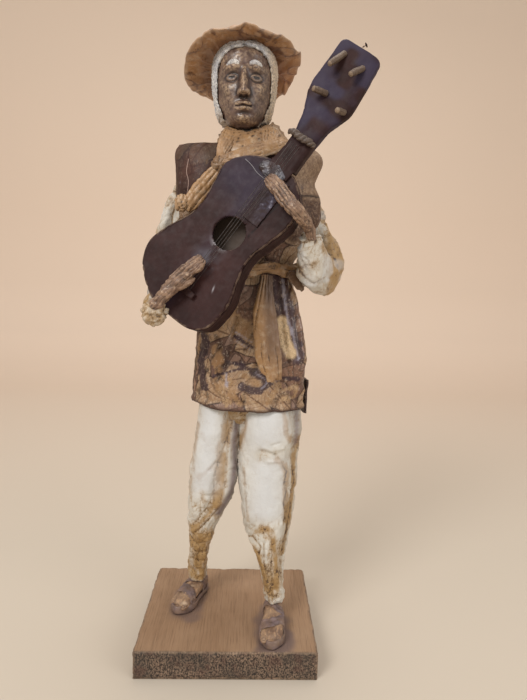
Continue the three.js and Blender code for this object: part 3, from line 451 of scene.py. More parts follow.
for name, heel, toe, inner in feet:
    length, bearing = foot_line(heel, toe)
    distance = (length - 2.4) * crowd_ends(np.linspace(0, 1, 70))[:, None]
    angle = laps(56)
    body = foot_skin(length, distance, angle)
    front = ease(distance, length - 9, length - 4)
    upper = ease(-np.cos(angle), -0.1, 0.5)
    between = bump(np.abs(np.cos(body[..., 0] * inner / 5.9 * np.pi * 1.25 + 0.2)), 0.3)
    groove = 0.5 * front * upper * between
    body[..., 2] = np.minimum(body[..., 2] - 0.8 * groove, ANKLE - 0.3)
    wrinkle = 0.12 * noise(body * (1, 2, 1), 1.6, 21) + 0.25 * noise(body, 4.0, 22)
    body = push(body, wrinkle * upper)
    skins = [shell(body, {"groove": 0.8 * groove + 0.5 * ease(wrinkle, -0.12, -0.3),
                          "heel": 0.6 * ease(distance, 13, 6) * upper})]
    for radius, x, back in ((2.0, 4.1, 1.9), (1.5, 1.35, 1.6), (1.42, -0.95, 2.4), (1.32, -3.1, 3.5),
                            (1.15, -4.9, 5.0)):
        toes = ball((inner * x, -(length - back - 1.2), FOOT_FLOOR + radius * 0.85),
                    (radius, radius * 1.7, radius * 0.85), 18, 22)
        local = (toes - toes.mean((0, 1))) / radius
        nail = ease(local[..., 2], 0.35, 0.6) * ease(local[..., 1], -0.5, -0.9)
        nail = nail * ease(np.abs(local[..., 0]), 0.7, 0.5)
        toes[..., 2] -= 0.25 * nail * radius
        rim = nail * (1 - nail) * 4
        skins.append(shell(toes, {"groove": 0.7 * rim + 0.7 * ease(local[..., 1], 0.9, 1.5)}))
    points, faces, marks = gather(*skins)
    build("foot_skin_" + name, tan_skin, "feet", "foot_" + name, (turn(points, bearing, (*heel, 0)), faces, marks))


# ------------------------------------------------------------------ sandals
# Flat soles cut from thick card and glued to the block, with two straps across each
# foot. They are painted a greyed purple and worn at the rim, where card shows through.

paint = worn_strap = Finish("greyed purple card")
cloud = paint.grain(240.0, 5.0)
paint.colour = paint.blend(paint.span(cloud, 0.35, 0.7), "56453F", "7A686A")
paint.over(paint.span(paint.grain(120.0, offset=4.0), 0.46, 0.6, 0.0, 0.5), "8C7160")
rub_edges(paint, "8F7763", 0.4, 0.6)
paint.finish((paint.grain(1600.0, 3.0), 0.2, 0.7), Roughness=paint.span(cloud, 0.3, 0.7, 0.4, 0.62),
             Coat_Weight=0.15)

for name, heel, toe, inner in feet:
    length, bearing = foot_line(heel, toe)
    half_width = stations([[-1.2, 4.3], [4.8, 5.3], [13.8, 5.3], [23.8, 7.2], [length - 5.2, 6.8],
                           [length + 0.6, 4.6]])
    around = laps(150)[0]
    distance = (length - 0.6) / 2 + (length + 1.8) / 2 * np.cos(around)
    squeeze = unit(1 - np.abs(np.cos(around)) ** 7) ** 0.5
    edge_line = np.stack([half_width(distance)[0] * squeeze * np.sign(np.sin(around)), -distance], -1)
    tangent = np.roll(edge_line, -1, 0) - np.roll(edge_line, 1, 0)
    out = np.stack([tangent[:, 1], -tangent[:, 0]], -1) / np.linalg.norm(tangent, axis=1, keepdims=True)
    if (out * (edge_line - edge_line.mean(0))).sum() < 0:
        out = -out
    rim = 1.9 * ease(distance, length - 15, length - 5) + 0.5
    rows, wear = [], []
    for height, outward, lifted in (
            (16.3, -0.5, 0), (16.5, -0.1, 0), (17.4, 0.1, 0), (SOLE_TOP - 0.2, 0, 1), (SOLE_TOP, -0.25, 1),
            (SOLE_TOP + 0.2, -0.9, 1), (SOLE_TOP, -1.6, 0.8), (SOLE_TOP - 0.05, -2.1, 0.2),
            (SOLE_TOP - 0.05, -2.7, 0)):
        uneven = 0.12 * noise(np.column_stack([edge_line, np.full(150, height * 3)]), 2.4, 31)
        flat = edge_line + out * (outward + uneven)[:, None]
        rows.append(np.column_stack([flat, height + rim * lifted]))
        wear.append(np.full(150, 0.75 if 17 < height and outward > -0.6 else 0.1))
    grid, wear = np.array(rows), np.array(wear)
    if np.cross(tangent[:1], out[:1])[0] > 0:
        grid, wear = grid[:, ::-1], wear[:, ::-1]
    skins = [shell(grid, {"edge": wear})]
    for centre, half, skew in ((length - 12.5, 3.4, 0.28), (12.0, 2.4, -0.3)):
        sweep = np.linspace(0.5 * np.pi - 0.45, 1.5 * np.pi + 0.45, 60)[:, None]
        across, up = outline(laps(30), 2.6)
        slant = skew * 10 * inner * np.cos(sweep - np.pi * 0.5)
        spot = centre + half * across + slant + 0.7 * np.sin(sweep * 3 + centre)
        lift = 0.35 - 0.42 * up + 0.14 * np.sin(sweep * 9 + centre) + 0.2 * np.sin(across * 7 + sweep * 2)
        strap = foot_skin(length, spot * np.ones_like(sweep), sweep * np.ones_like(spot), lift)
        strap = strap + 0.4 * np.stack([noise(strap, 2.4, 35 + k) for k in range(3)], -1)
        strap[..., 2] = np.clip(strap[..., 2], 17.2, ANKLE - 0.25)
        strap[..., 0] *= 1 + 0.06 * ease(strap[..., 2], 22, 18.5)
        skins.append(shell(strap, {"edge": 0.75 * ease(np.abs(across), 0.6, 1) * np.ones_like(sweep)}))
    points, faces, marks = gather(*skins)
    build("sandal_card_" + name, worn_strap, "leather", "sandal_" + name,
          (turn(points, bearing, (*heel, 0)), faces, marks))


# ------------------------------------------------------------------ trousers
# Two legs of stiff pasted paper, painted off-white. A brown glaze was wiped over them,
# so it stays in the creases and runs down in golden streaks, and it has crackled.

def upright(levels, foot, top, rows, sides, power, relief=None, lift=None):
    """Rings of an upright body, with the angle and the height of each point."""
    height = foot + (top - foot) * np.linspace(0, 1, rows)[:, None] * np.ones((1, sides))
    angle = laps(sides) * np.ones((rows, 1))
    x, y, width, depth = levels(height)
    across, ahead = outline(angle, power)
    swell = relief(angle, height) if relief else 0
    rise = lift(angle, height) if lift else 0
    return np.stack([x + across * (width + swell), y + ahead * (depth + swell), height + rise], -1), angle, height


def paper(points, size, seed):
    """Crumpled paper: the height of its facets, about -1 to 1, and where it is creased."""
    warp = np.stack([noise(points, size * 1.4, seed + k) for k in (11, 12, 13)], -1)
    moved = points + 0.7 * size * warp
    valley = np.abs(noise(moved, size, seed))
    crest = np.abs(noise(moved + 31.7, size * 0.62, seed + 1))
    fine = np.abs(noise(moved + 9.1, size * 0.4, seed + 2))
    return 2.2 * valley - 1.2 * crest - 0.25, unit(bump(valley, 0.085) + 0.5 * bump(fine, 0.1))


def crumple(x, y, z, grain):
    """Broad flat facets between ridges, from about -1 to 1."""
    first = np.sin(x / grain + 1.4 * np.sin(z / grain / 1.7 + 0.6))
    second = np.sin((z + 0.5 * y) / grain / 1.3 + 1.1 * np.sin(y / grain + 2))
    third = np.sin((x - z) / grain / 2.1 + 0.9 * np.sin(x / grain / 1.5))
    return 1 - (np.abs(first) + np.abs(second) + np.abs(third)) / 1.5


def turn_from(angle, other):
    return np.arctan2(np.sin(angle - other), np.cos(angle - other))


def down(height, high, low, at_high, at_low):
    """A value that changes evenly from at_high to at_low as the height falls."""
    return at_high + (high - height) / (high - low) * (at_low - at_high)


def near(points, path, width):
    """1 on a line drawn on the front at x, z, and near 0 beyond its width."""
    spot = points[..., [0, 2]]
    nearest = np.full(spot.shape[:-1], 1e9)
    for start, end in zip(path, path[1:]):
        start, end = np.array(start, float), np.array(end, float)
        along = end - start
        share = unit(((spot - start) @ along) / (along @ along))
        nearest = np.minimum(nearest, np.linalg.norm(spot - start - share[..., None] * along, axis=-1))
    return bump(nearest, width)


def cuff(angle, height, seed):
    """A ragged thick edge round the ankle."""
    torn = noise(np.stack([np.sin(angle) * 6, np.cos(angle) * 6, angle * 0 + seed], -1), 2.0, seed)
    return 0.45 * bump(height - 31.5 - 1.6 * torn, 1.6) - 0.4 * bump(height - 35.5 - 1.6 * torn, 1.4)


def right_relief(angle, height):
    slant = np.radians(down(height, 150, 80, 44, 12))
    seam = -2 * bump(turn_from(angle, slant), 0.3) * ease(height, 62, 84)
    inner = 1.2 * bump(turn_from(angle, slant + 0.75), 0.3)
    gathers = 0.22 * ease(92 - height, 0, 22) * np.sin(height / 2.0 + 3.0 * np.sin(angle + 0.6))
    return seam + inner + gathers + 0.6 * crumple(angle * 9, 0, height, 5.5) + cuff(angle, height, 3)


def left_relief(angle, height):
    outer = np.radians(down(height, 140, 50, 56, 64))
    seam = -2.8 * bump(turn_from(angle, outer), 0.3) * ease(height, 40, 60)
    flap = 1.1 * bump(turn_from(angle, outer + 0.6), 0.3)
    slack = ease(70 - height, 0, 18)
    gathers = 0.5 * slack * np.sin(angle * 5 + height / 9)
    calm = 1 - 0.7 * bump(turn_from(angle, 0), 0.8) * (1 - slack)
    facets = 0.6 * calm * crumple(angle * 9, 3, height, 5.5)
    return seam + flap + gathers + facets + 1.2 * cuff(angle, height, 8)


def crease_leg(grid, angle, height, glazed, lines, smooth, seed):
    """Adds fine creases, crackle and the glaze marks to a leg. Glazed lines are golden
    streaks, other lines are pressed-in folds, and smooth is where the paper lies flat."""
    front = ease(np.cos(angle), -0.15, 0.25)
    facets, crease = paper(grid * (1, 1, 0.55), 6.5, seed)
    small, small_crease = paper(grid * (1, 1, 0.8), 2.6, seed + 40)
    calm = 1 - 0.88 * smooth
    folds = sum(depth * front * near(grid, path, width) for path, width, depth, _ in lines)
    inked = sum(dark * front * near(grid, path, 0.75 * width) for path, width, _, dark in lines)
    golden = unit(sum(front * share * near(grid, path, width) for path, width, share in glazed))
    golden = unit(golden + (1 - front) * patchy(grid, 14.0, seed + 3, -0.2, 0.6) * 0.75)
    uneven = patchy(grid * (1, 1, 0.5), 4.0, seed + 5, -0.7, 0.3)
    slack = ease(height, 84, 58)
    relief = calm * ((0.55 - 0.2 * slack) * facets + (0.18 + 0.1 * slack) * small) - folds
    relief = relief + 0.14 * noise(grid, 0.9, seed + 6) * golden
    crackle = calm * unit(0.7 * crease + 0.7 * small_crease * patchy(grid, 9.0, seed + 7, -0.1, 0.4))
    wax = unit(0.6 * crackle + inked + 0.3 * slack * small_crease)
    return push(grid, relief), {"wax": wax, "gold": golden * (0.55 + 0.45 * uneven), "cool": smooth}


# Fine crumpling and crackle of painted paper, in the shading only.
effect = crumpled_paper = new_effect("crumpled paper", {"Position": "Vector", "Fineness": 420.0},
                                     ["Height", "Crackle", "Cloud", "Lines"])


def from_middle(tone):
    return effect.calc("ABSOLUTE", effect.minus(tone, 0.5))


valley = from_middle(effect.grain(effect.source["Fineness"], 3.0))
broad_valley = from_middle(effect.grain(150.0, 2.0, (1, 1, 0.6), 4.0))
cracked = effect.add("TexVoronoi", {"Vector": effect.place, "Scale": 700.0}, feature="DISTANCE_TO_EDGE")
cracked = effect.times(effect.span(cracked, 0.02, 0.1, 1.0, 0.0),
                       effect.span(effect.grain(130.0, 2.0, offset=7.0), 0.5, 0.62))
veins = [effect.span(from_middle(vein), 0.004, 0.022, 1.0, 0.0)
         for vein in (effect.grain(300.0, 1.5, (1, 1, 0.7), 8.0), effect.grain(520.0, 1.0, (1, 1, 0.8), 2.5))]
effect.give(Height=effect.plus(effect.times(valley, 1.4), effect.times(broad_valley, 3.0)), Crackle=cracked,
            Cloud=effect.grain(75.0, 4.0, (1, 1, 0.6), 1.0), Lines=effect.calc("MAXIMUM", *veins))

# Brown glaze that settles in creases and thins to gold on the open paper around them.
effect = wiped_glaze = new_effect(
    "wiped glaze", {"Paint": "Color", "Golden": "Color", "Dark": "Color", "Wax": 0.0, "Gold": 0.0, "Crackle": 0.0,
                    "Lines": 0.0, "Position": "Vector"}, ["Color", "Dirt"])
source = effect.source
patch = effect.grain(520.0, 4.0, (1, 1, 0.5))
washed = effect.plus(source["Gold"], effect.times(effect.grain(180.0, 3.0, (1, 1, 0.4), 6.0), 0.5))
wiped = effect.plus(effect.minus(washed, 0.25), effect.times(effect.minus(patch, 0.5), 0.9))
wiped = effect.span(wiped, 0.22, 0.85)
dirt = effect.plus(source["Wax"], effect.times(source["Crackle"], 0.4))
wet_lines = effect.times(source["Lines"], effect.span(washed, 0.3, 0.75))
dirt = effect.plus(dirt, effect.times(wet_lines, 0.6))
dirt = effect.times(dirt, effect.span(patch, 0.3, 0.6, 0.45, 1.0))
effect.colour = effect.blend(wiped, source["Paint"], source["Golden"])
effect.over(effect.span(dirt, 0.12, 0.5), source["Golden"], 0.75)
effect.over(effect.span(dirt, 0.45, 0.95, 0.0, 0.95), source["Dark"])
effect.give(Color=effect.colour, Dirt=effect.calc("MAXIMUM", wiped, dirt))


def paint_paper(name, ground, shade, golden, dark, bump_depth=0.35, gloss=(0.38, 0.62)):
    """A finish of painted paper under a wiped glaze."""
    paint = Finish(name)
    sheet = paint.use(crumpled_paper)
    glaze = paint.use(
        wiped_glaze, Paint=paint.blend(paint.span(sheet["Cloud"], 0.35, 0.68), ground, shade), Golden=tint(golden),
        Dark=tint(dark), Wax=paint.mark("wax"), Gold=paint.mark("gold"), Crackle=sheet["Crackle"],
        Lines=sheet["Lines"])
    paint.colour = glaze["Color"]
    paint.finish((sheet["Height"], bump_depth, 0.7), Roughness=paint.span(glaze["Dirt"], 0.0, 1.0, *gloss[::-1]),
                 Coat_Weight=0.12, Coat_Roughness=0.3)
    return paint


paint = cream_paint = paint_paper("glazed off-white paint", "D8D4CB", "BDB6AA", "A58559", "432C1E")
# Cooler white where the trouser paper lies smooth, and a painted cool highlight on the sleeves.
paint.over("cool", "D6D9DD", 0.75)
# Purple-grey painted shade down the shaded side of each leg, where the purple mark is.
paint.over("purple", "6A595C", 0.85)
paint.finish()

right_leg = stations([[28, -20.4, 12, 5.7, 6.4], [46, -19.6, 8.5, 6, 7.2], [60, -18.2, 5.8, 7, 8.8],
                      [73, -15.9, 3, 9.8, 10.6], [91, -12, -0.5, 13.4, 12.4], [116, -9.8, -1.5, 13, 13.8],
                      [139, -8, -1, 12, 15], [156, -6.6, 0, 12.6, 15]])
grid, angle, height = upright(right_leg, 28, 156.3, 210, 130, 2.25, right_relief)
smooth = bump(turn_from(angle, -0.35), 0.7) * ease(height, 84, 96) * patchy(grid, 15.0, 6, -0.6, -0.1)
glazed = [([(0.4, 141), (-3.4, 128.4), (-5.6, 113.5), (-6.2, 100), (-7.4, 86)], 3.4, 1.3),
          ([(-17.5, 102), (-12, 108), (-6, 112)], 1.6, 0.8), ([(-9, 84), (-16, 74), (-23, 66)], 2.6, 0.7),
          ([(-24, 60), (-14, 59)], 7.0, 1.2), ([(-25, 48), (-14, 48)], 10.0, 1.2),
          ([(-25, 35), (-14, 34)], 8.0, 1.2), ([(-18.9, 132), (-20.7, 119), (-22.5, 102), (-24.9, 88)], 1.5, 0.8),
          ([(-15.7, 127.7), (-14.4, 121.2)], 1.8, 0.5), ([(-17.9, 102.9), (-15.2, 87)], 2.0, 0.5)]
lines = [([(-12.5, 106), (-8.5, 111.5), (-6.0, 110)], 0.8, 0.8, 0.5),
         ([(-1.5, 128), (-9.6, 102), (-9.4, 86)], 0.6, 0.5, 0.5),
         ([(-25, 60), (-20, 55.5), (-15, 57)], 0.9, 0.7, 0.4), ([(-25, 52), (-19, 49), (-14, 50.5)], 0.9, 0.6, 0.4),
         ([(-24, 44.5), (-19, 42.5), (-15, 43.5)], 0.9, 0.5, 0.4),
         ([(-23, 56), (-20, 46), (-20, 36)], 0.8, 0.5, 0.35),
         ([(-6.5, 82), (-14.5, 71.5), (-21, 64.5)], 0.9, 1.0, 0.6),
         ([(-9.9, 93), (-13.5, 82), (-21, 71)], 0.7, 0.6, 0.4),
         ([(1.6, 102.7), (-2.1, 93.2), (-9, 79.6), (-16.7, 69.9), (-21.9, 64.3)], 1.5, -0.9, 0.0),
         ([(-3.2, 97.8), (-6.2, 85.8)], 0.7, 0.6, 0.5),
         ([(1.7, 139), (-2.0, 126), (-2.2, 111), (-3.2, 98)], 0.7, 0.5, 0.45)]
right_grid, right_marks = crease_leg(grid, angle, height, glazed, lines, smooth, 51)
# Painted shade: a purple-grey band down the inner side of the right leg.
right_marks["purple"] = ease(np.cos(angle), -0.2, 0.2) * near(
    right_grid, [(4.1, 141), (1.4, 123.2), (2.2, 107.4), (0.3, 91.4), (-6.8, 77.8)], 2.3)

left_leg = stations([[28, 26.7, -12, 5.3, 6.2], [44.5, 24.9, -11.4, 6.3, 7.6], [57, 22.9, -10, 8.5, 9.8],
                     [72, 21.8, -8, 13.4, 12.2], [90, 21.4, -5.6, 15.7, 13.8], [112, 21.3, -3.6, 17.3, 14.8],
                     [139, 21.8, -1.4, 17.2, 16], [147, 21.2, -0.2, 16.4, 14.2], [156, 20.6, 0, 15.6, 13.6]])
grid, angle, height = upright(left_leg, 28, 156.3, 215, 150, 2.25, left_relief)
smooth = bump(turn_from(angle, -0.1), 0.75) * ease(height, 74, 84)
smooth = smooth * (1 - 0.9 * near(grid, [(16, 117), (31, 120)], 4.5))
glazed = [([(5.5, 140), (8.4, 132.6), (5.8, 124.8), (4, 118)], 1.9, 0.9),
          ([(29.1, 142), (30.7, 129.4), (33.4, 124.3)], 1.6, 1.2),
          ([(26, 114.5), (29.9, 111), (31.6, 105), (31.1, 94.7), (32, 84.2), (32.9, 76.2)], 1.8, 1.2),
          ([(38.6, 124.8), (35.8, 114.3), (35.8, 104), (36.4, 94.9), (34.8, 82.9), (33.3, 69.4), (30.5, 57.2)],
           1.7, 1.2),
          ([(27, 64), (27.3, 49.2), (27, 34)], 3.0, 1.2),
          ([(14, 62), (17.5, 54.5), (20.4, 43.7), (22.5, 35.5)], 2.8, 1.2),
          ([(15.8, 72.9), (20.8, 75.6), (24.7, 71.7), (26, 66)], 2.4, 1.1),
          ([(7.5, 108), (8.6, 92), (10.4, 78)], 1.2, 0.7),
          ([(22.6, 60), (23.6, 48), (24.5, 38)], 1.0, 0.6)]
lines = [([(24.8, 117.3), (16.2, 119.4)], 0.8, 0.9, 0.1), ([(24.8, 117.3), (30.6, 111)], 0.8, 0.9, 0.35),
         ([(24.8, 117.3), (22.5, 122.5), (27, 124)], 0.8, 0.7, 0.1), ([(16.5, 114.5), (18.5, 112)], 0.6, 0.5, 0.2),
         ([(21, 113.5), (27.5, 113.6), (31, 110.7)], 1.0, -0.8, 0.0),
         ([(18, 121.5), (23, 119.8), (29, 121)], 1.0, -0.7, 0.0),
         ([(28.8, 112.3), (32, 107.2), (30.9, 100.7), (32.1, 94.7), (30.9, 89), (32.2, 84.2), (31.8, 76.2)],
          0.7, 1.1, 0.9),
         ([(35.4, 108), (36.6, 98.9), (35.2, 90), (35.4, 82.9), (33.3, 69.4), (30.5, 57.2)], 0.7, 0.9, 0.8),
         ([(9.6, 66), (12.9, 62), (16.8, 58)], 0.7, 0.9, 0.6),
         ([(9.8, 67.2), (13.4, 68.6), (18, 63.4), (17, 58.5)], 0.6, 0.7, 0.8),
         ([(12.2, 65.6), (15.4, 62.4)], 0.9, -0.8, 0.0), ([(19.5, 75), (22, 72), (25, 66)], 0.8, 0.5, 0.4),
         ([(19.8, 66), (20, 54), (22.9, 42)], 0.6, 0.7, 0.5), ([(24.6, 64), (24, 50), (25.7, 40)], 0.6, 0.6, 0.5),
         ([(20.6, 68.5), (22, 57.8), (24.4, 44.3)], 1.5, -0.7, 0.0)]
left_grid, left_marks = crease_leg(grid, angle, height, glazed, lines, smooth, 77)
# Painted shade: a purple-grey band down the outer side of the left leg.
left_marks["purple"] = 0.8 * ease(np.cos(angle), -0.3, 0.2) * near(
    left_grid, [(36.8, 143), (37.4, 131), (37, 122)], 2.0)

crotch = stations([[129, 6, 0, 5, 5], [136, 7.5, 0, 20, 11], [145, 8, 0, 26.5, 14.5], [156.6, 8, 0, 26.5, 15]])
grid, angle, height = upright(crotch, 129, 157.7, 40, 110, 2.4)
facets, crease = paper(grid, 5.0, 90)
hip_marks = {"wax": 0.8 * crease, "gold": 0.7}
build("trousers_of_pasted_paper", cream_paint, "cream", "trousers", shell(right_grid, right_marks),
      shell(left_grid, left_marks), shell(push(grid, 0.5 * facets), hip_marks))


# ------------------------------------------------------------------ tunic
# A sleeveless tunic of printed paper over a dark ground, glazed and shiny. It has broad
# square shoulders, is drawn in at the waist, and opens like a skirt down to its hem.

HEM, WAIST, SHOULDER = 142.0, 219.0, 286.9
tunic_levels = stations([[142, 8.7, 0, 32.3, 20], [155, 9.2, 0, 32.1, 20], [164, 9.5, 0, 31.7, 19.4],
                         [181, 8.9, 0, 30.1, 18.4], [198, 8.3, 0, 27.2, 17], [210, 8.2, 0, 25.2, 16],
                         [221, 8, 0, 23.2, 14.7], [235, 8, 0, 31, 16.4], [245, 8, 0, 38.6, 17.4],
                         [257, 7, 0, 40.4, 17.8], [268, 4.6, 0, 38.8, 17.6], [276, 5.8, 0, 40.4, 17],
                         [281, 6.2, 0, 40.8, 15.8], [284.8, 5.6, 0, 39.4, 13.4], [286.9, 5, 0, 37.4, 11]])


def from_roll(angle, height):
    """Angle from the soft roll that runs down the skirt at the left."""
    return turn_from(angle, np.radians(down(height, 216, 165, 62, 54)))


def tunic_relief(angle, height):
    skirt = ease(WAIST - height, 2, 30)
    roll = 2.6 * bump(from_roll(angle, height), 0.2) * ease(height, 156, 172) * ease(228 - height, 0, 12)
    valley = -1.6 * skirt * bump(from_roll(angle + 0.42, height), 0.16)
    fan = 0.8 * skirt * np.cos(angle * 7 + 0.6 + height / 45)
    chest = 0.4 * crumple(angle * 16, 0, height, 9)
    return (1 - bump(height - WAIST, 9)) * (roll + valley + fan + chest)


def hem_lift(angle, height):
    return 3.4 * ease(-np.sin(angle), 0.2, 1) * (1 - ease(height, HEM, HEM + 40))


skin, angle, height = upright(tunic_levels, HEM, SHOULDER, 180, 240, 2.6, tunic_relief, hem_lift)
front = ease(np.cos(angle), -0.1, 0.3)
facets, crease = paper(skin * (1, 1, 0.7), 9.0, 101)
small, small_crease = paper(skin, 3.2, 131)
calm = 1 - 0.6 * ease(height, 262, 275)
folds = sum(depth * front * near(skin, path, width) for path, width, depth in [
    ([(1.0, 194), (-3.0, 170.7), (-9.0, 159)], 1.3, 1.3), ([(13.2, 168), (8, 156), (6, 145)], 1.2, 1.0),
    ([(-8, 178), (-17, 160), (-20, 148)], 1.2, 0.9), ([(24.8, 214), (25.5, 200), (28, 184), (31, 170)], 1.1, 1.2),
    ([(30, 216), (33, 200), (36, 184), (38, 168)], 1.0, 0.9), ([(22, 172), (25, 160), (27, 154)], 1.1, 0.6),
    ([(-20, 185), (-22, 165)], 1.1, 0.6)])
pleats = near(skin, [(26.6, 192), (28.4, 181.3), (32, 174.6)], 3.7) * front
ruffle = pleats * np.abs(np.sin(skin[..., 2] * 1.15 + skin[..., 0] * 0.9))
torn_hem = noise(skin * (1, 1, 0.2), 3.0, 141)
relief = calm * (0.62 * facets + 0.14 * small) - folds + 0.7 * ruffle - 0.3 * pleats
relief += 0.5 * bump(height - HEM - 1.5, 1.1) - 0.35 * bump(height - HEM - 4.2, 1.2)
skin = push(skin, relief)
skin[..., 2] += 0.35 * torn_hem * ease(height, HEM + 6, HEM)
wax = unit(0.6 * crease * calm + 0.3 * small_crease + 0.45 * unit(folds))
roll_mark = bump(from_roll(angle, height), 0.26) * ease(height, 168, 176) * ease(228 - height, 2, 10) * (1 - pleats)


def painted(points, strokes, seed):
    """Patches drawn on the front, each a path with its half width, with uneven edges."""
    ragged = 0.22 * noise(points, 1.6, seed) + 0.3 * noise(points, 5.0, seed + 1)
    facing = ease(points[..., 1], -2, -7)
    return facing * np.max([ease(near(points, path, width) + ragged, 0.3, 0.56) for path, width in strokes], axis=0)


glint = [(26.6, 215), (27.8, 203.1), (30.1, 192.3), (33.6, 182.3), (36.4, 172)]
dark = painted(skin, [
    (glint[:3], 5.2), (glint[2:], 3.4), ([(20.5, 216), (21.5, 202), (24.5, 194)], 2.2),
    ([(1, 169), (14, 165), (27, 161), (37, 160)], 1.1), ([(-10, 161.5), (4, 166), (14, 165.7)], 0.8),
    ([(-16, 183), (-16.6, 175), (-18, 165), (-15.8, 155)], 2.6),
    ([(10.7, 164), (17, 161.5), (20.5, 158), (15.4, 154.3), (10, 154), (5.1, 156.5)], 2.1),
    ([(1.3, 183.4), (5.3, 181), (10.7, 178)], 1.2)], 151)
tan = painted(skin, [
    ([(-9, 176), (-7, 166), (-7.4, 156), (-2.6, 147)], 3.4), ([(-2, 160), (0.4, 151.6), (4.5, 146.6)], 1.9),
    ([(7, 162), (13.6, 158)], 1.9), ([(-18.4, 180), (-19.4, 171)], 2.0), ([(-2, 192), (5, 188), (8, 184)], 5.5),
    ([(28, 149), (35, 150), (36, 156), (30, 154.5)], 1.1), ([(20, 147), (26, 157)], 1.3)], 152)
# The light strokes are a painted highlight: a pale line down the roll, and short pale lines on the lens and the lower
# front.
light = painted(skin, [
    (glint, 0.8), ([(0.8, 186), (5.6, 183.4), (11, 180.2)], 0.4), ([(1.5, 181), (5.6, 178.8), (10.4, 176)], 0.4),
    ([(-3.6, 163), (-2.9, 156)], 0.6), ([(14, 163), (19.6, 159.6), (16.4, 155.4)], 0.5)], 153)
cap = front * ease(skin[..., 0], 26, 29)
sheen = unit(0.95 * roll_mark + front * 0.8 * near(skin, [(11, 163.6), (20, 158.4), (13, 154), (6, 156)], 3.4))
marks = {"wax": wax * (1 - 0.8 * pleats), "gold": unit(1.25 * pleats), "dark": dark * (1 - pleats),
         "sheen": sheen, "tan": tan * (1 - dark), "light": light, "hem": bump(height - HEM, 1.3),
         "cap": cap * ease(height, 257, 259), "panel": cap * ease(height, 232, 238) * ease(height, 258, 257),
         "seam": cap * bump(height - 257.8 - 0.06 * skin[..., 0], 0.6), "yoke": ease(height, 240, 262),
         "u": turn_from(angle, 0) * 33, "v": height}
inside_rows, top_rows = [], []
for rise, inset in ((15.8, 3.4), (8.0, 3.0), (2.5, 2.4), (0.4, 1.6), (-0.25, 0.9), (-0.25, 0.35)):
    centre = tunic_levels(HEM)[:2]
    flat = skin[0, :, :2] - centre
    flat = flat * (1 - inset / np.linalg.norm(flat, axis=-1, keepdims=True))
    inside_rows.append(np.column_stack([flat + centre, skin[0, :, 2] + rise]))
for share in (0.93, 0.8, 0.6, 0.35):
    ring = skin[-1].copy()
    middle = ring.mean(0)
    ring[:, :2] = middle[:2] + (ring[:, :2] - middle[:2]) * share
    ring[:, 2] += 0.3 + 0.12 * noise(ring, 2.5, 9)
    top_rows.append(ring)
marks = {name: np.concatenate([np.repeat(values[:1], 6, 0), values, np.repeat(values[-1:], 4, 0)])
         for name, values in marks.items()}
marks["wax"][:4] = 0.8
tunic_skin = shell(np.concatenate([inside_rows, skin, top_rows]), marks)

# The loose edge of the back panel shows beside the hem at the left.
points, faces = rounded_block((41.0, 0.5, 136.9), (42.6, 13.5, 157.4), 0.5, 0.7)
points = turn(points - (41.8, 7, 147), np.radians(12), (41.8, 7, 147))
points[:, 0] += 0.035 * (points[:, 2] - 147) + 0.7 * noise(points * (0.3, 1, 1), 5.0, 17)
points[:, 2] += 0.6 * noise(points, 3.0, 18)
panel_edge = (points, faces, {"wax": np.full(len(points), 0.75), "dark": np.ones(len(points)),
                              "u": points[:, 1] + 60, "v": points[:, 2]})


def route(points, count):
    """Evenly spaced points along a smooth curve, and the directions there."""
    knots = np.array(points, float)
    knots = np.vstack([2 * knots[0] - knots[1], knots, 2 * knots[-1] - knots[-2]])
    pieces = []
    for before, start, end, after in zip(knots, knots[1:], knots[2:], knots[3:]):
        g0, g1, g2 = [np.linalg.norm(b - a) ** 0.5 for a, b in ((before, start), (start, end), (end, after))]
        leave = ((start - before) / g0 - (end - before) / (g0 + g1) + (end - start) / g1) * g1
        arrive = ((end - start) / g1 - (after - start) / (g1 + g2) + (after - end) / g2) * g1
        pieces.append(curve(start, end, leave, arrive, np.linspace(0, 1, 60)[:, None]))
    dense = np.vstack(pieces)
    steps = np.concatenate([[0], np.cumsum(np.linalg.norm(np.diff(dense, axis=0), axis=1))])
    wanted = np.linspace(0, steps[-1], count)
    line = np.stack([np.interp(wanted, steps, dense[:, k]) for k in range(3)], -1)
    ahead = np.gradient(line, axis=0)
    return line, ahead / np.linalg.norm(ahead, axis=1, keepdims=True)


def limb(path, reference, section, rows, sides, relief=None):
    """Rings along a curve, with the share of its length and the angle of each point.
    The width lies across the reference direction and the thickness along it."""
    line, ahead = route(path, 400)
    along = crowd_ends(np.linspace(0, 1, rows))
    share = np.linspace(0, 1, 400)
    centre, ahead = [np.stack([np.interp(along, share, values[:, k]) for k in range(3)], -1)
                     for values in (line, ahead)]
    ahead /= np.linalg.norm(ahead, axis=1, keepdims=True)
    side = np.cross(np.array(reference, float), ahead)
    side /= np.linalg.norm(side, axis=1, keepdims=True)
    face = np.cross(ahead, side)
    along = along[:, None] * np.ones((1, sides))
    angle = laps(sides) * np.ones((rows, 1))
    width, thickness = stations(section)(along)
    across, depth = outline(angle, 2.2)
    swell = relief(along, angle, centre[:, None, :]) if relief else 0
    grid = (centre[:, None, :] + side[:, None, :] * (across * (width + swell))[..., None]
            + face[:, None, :] * (depth * (thickness + swell))[..., None])
    return grid, along, angle


def wire(path, reference, radius, rows, sides):
    """A thin round thread along a curve."""
    return limb(path, reference, [[0, radius, radius], [1, radius, radius]], rows, sides)[0]


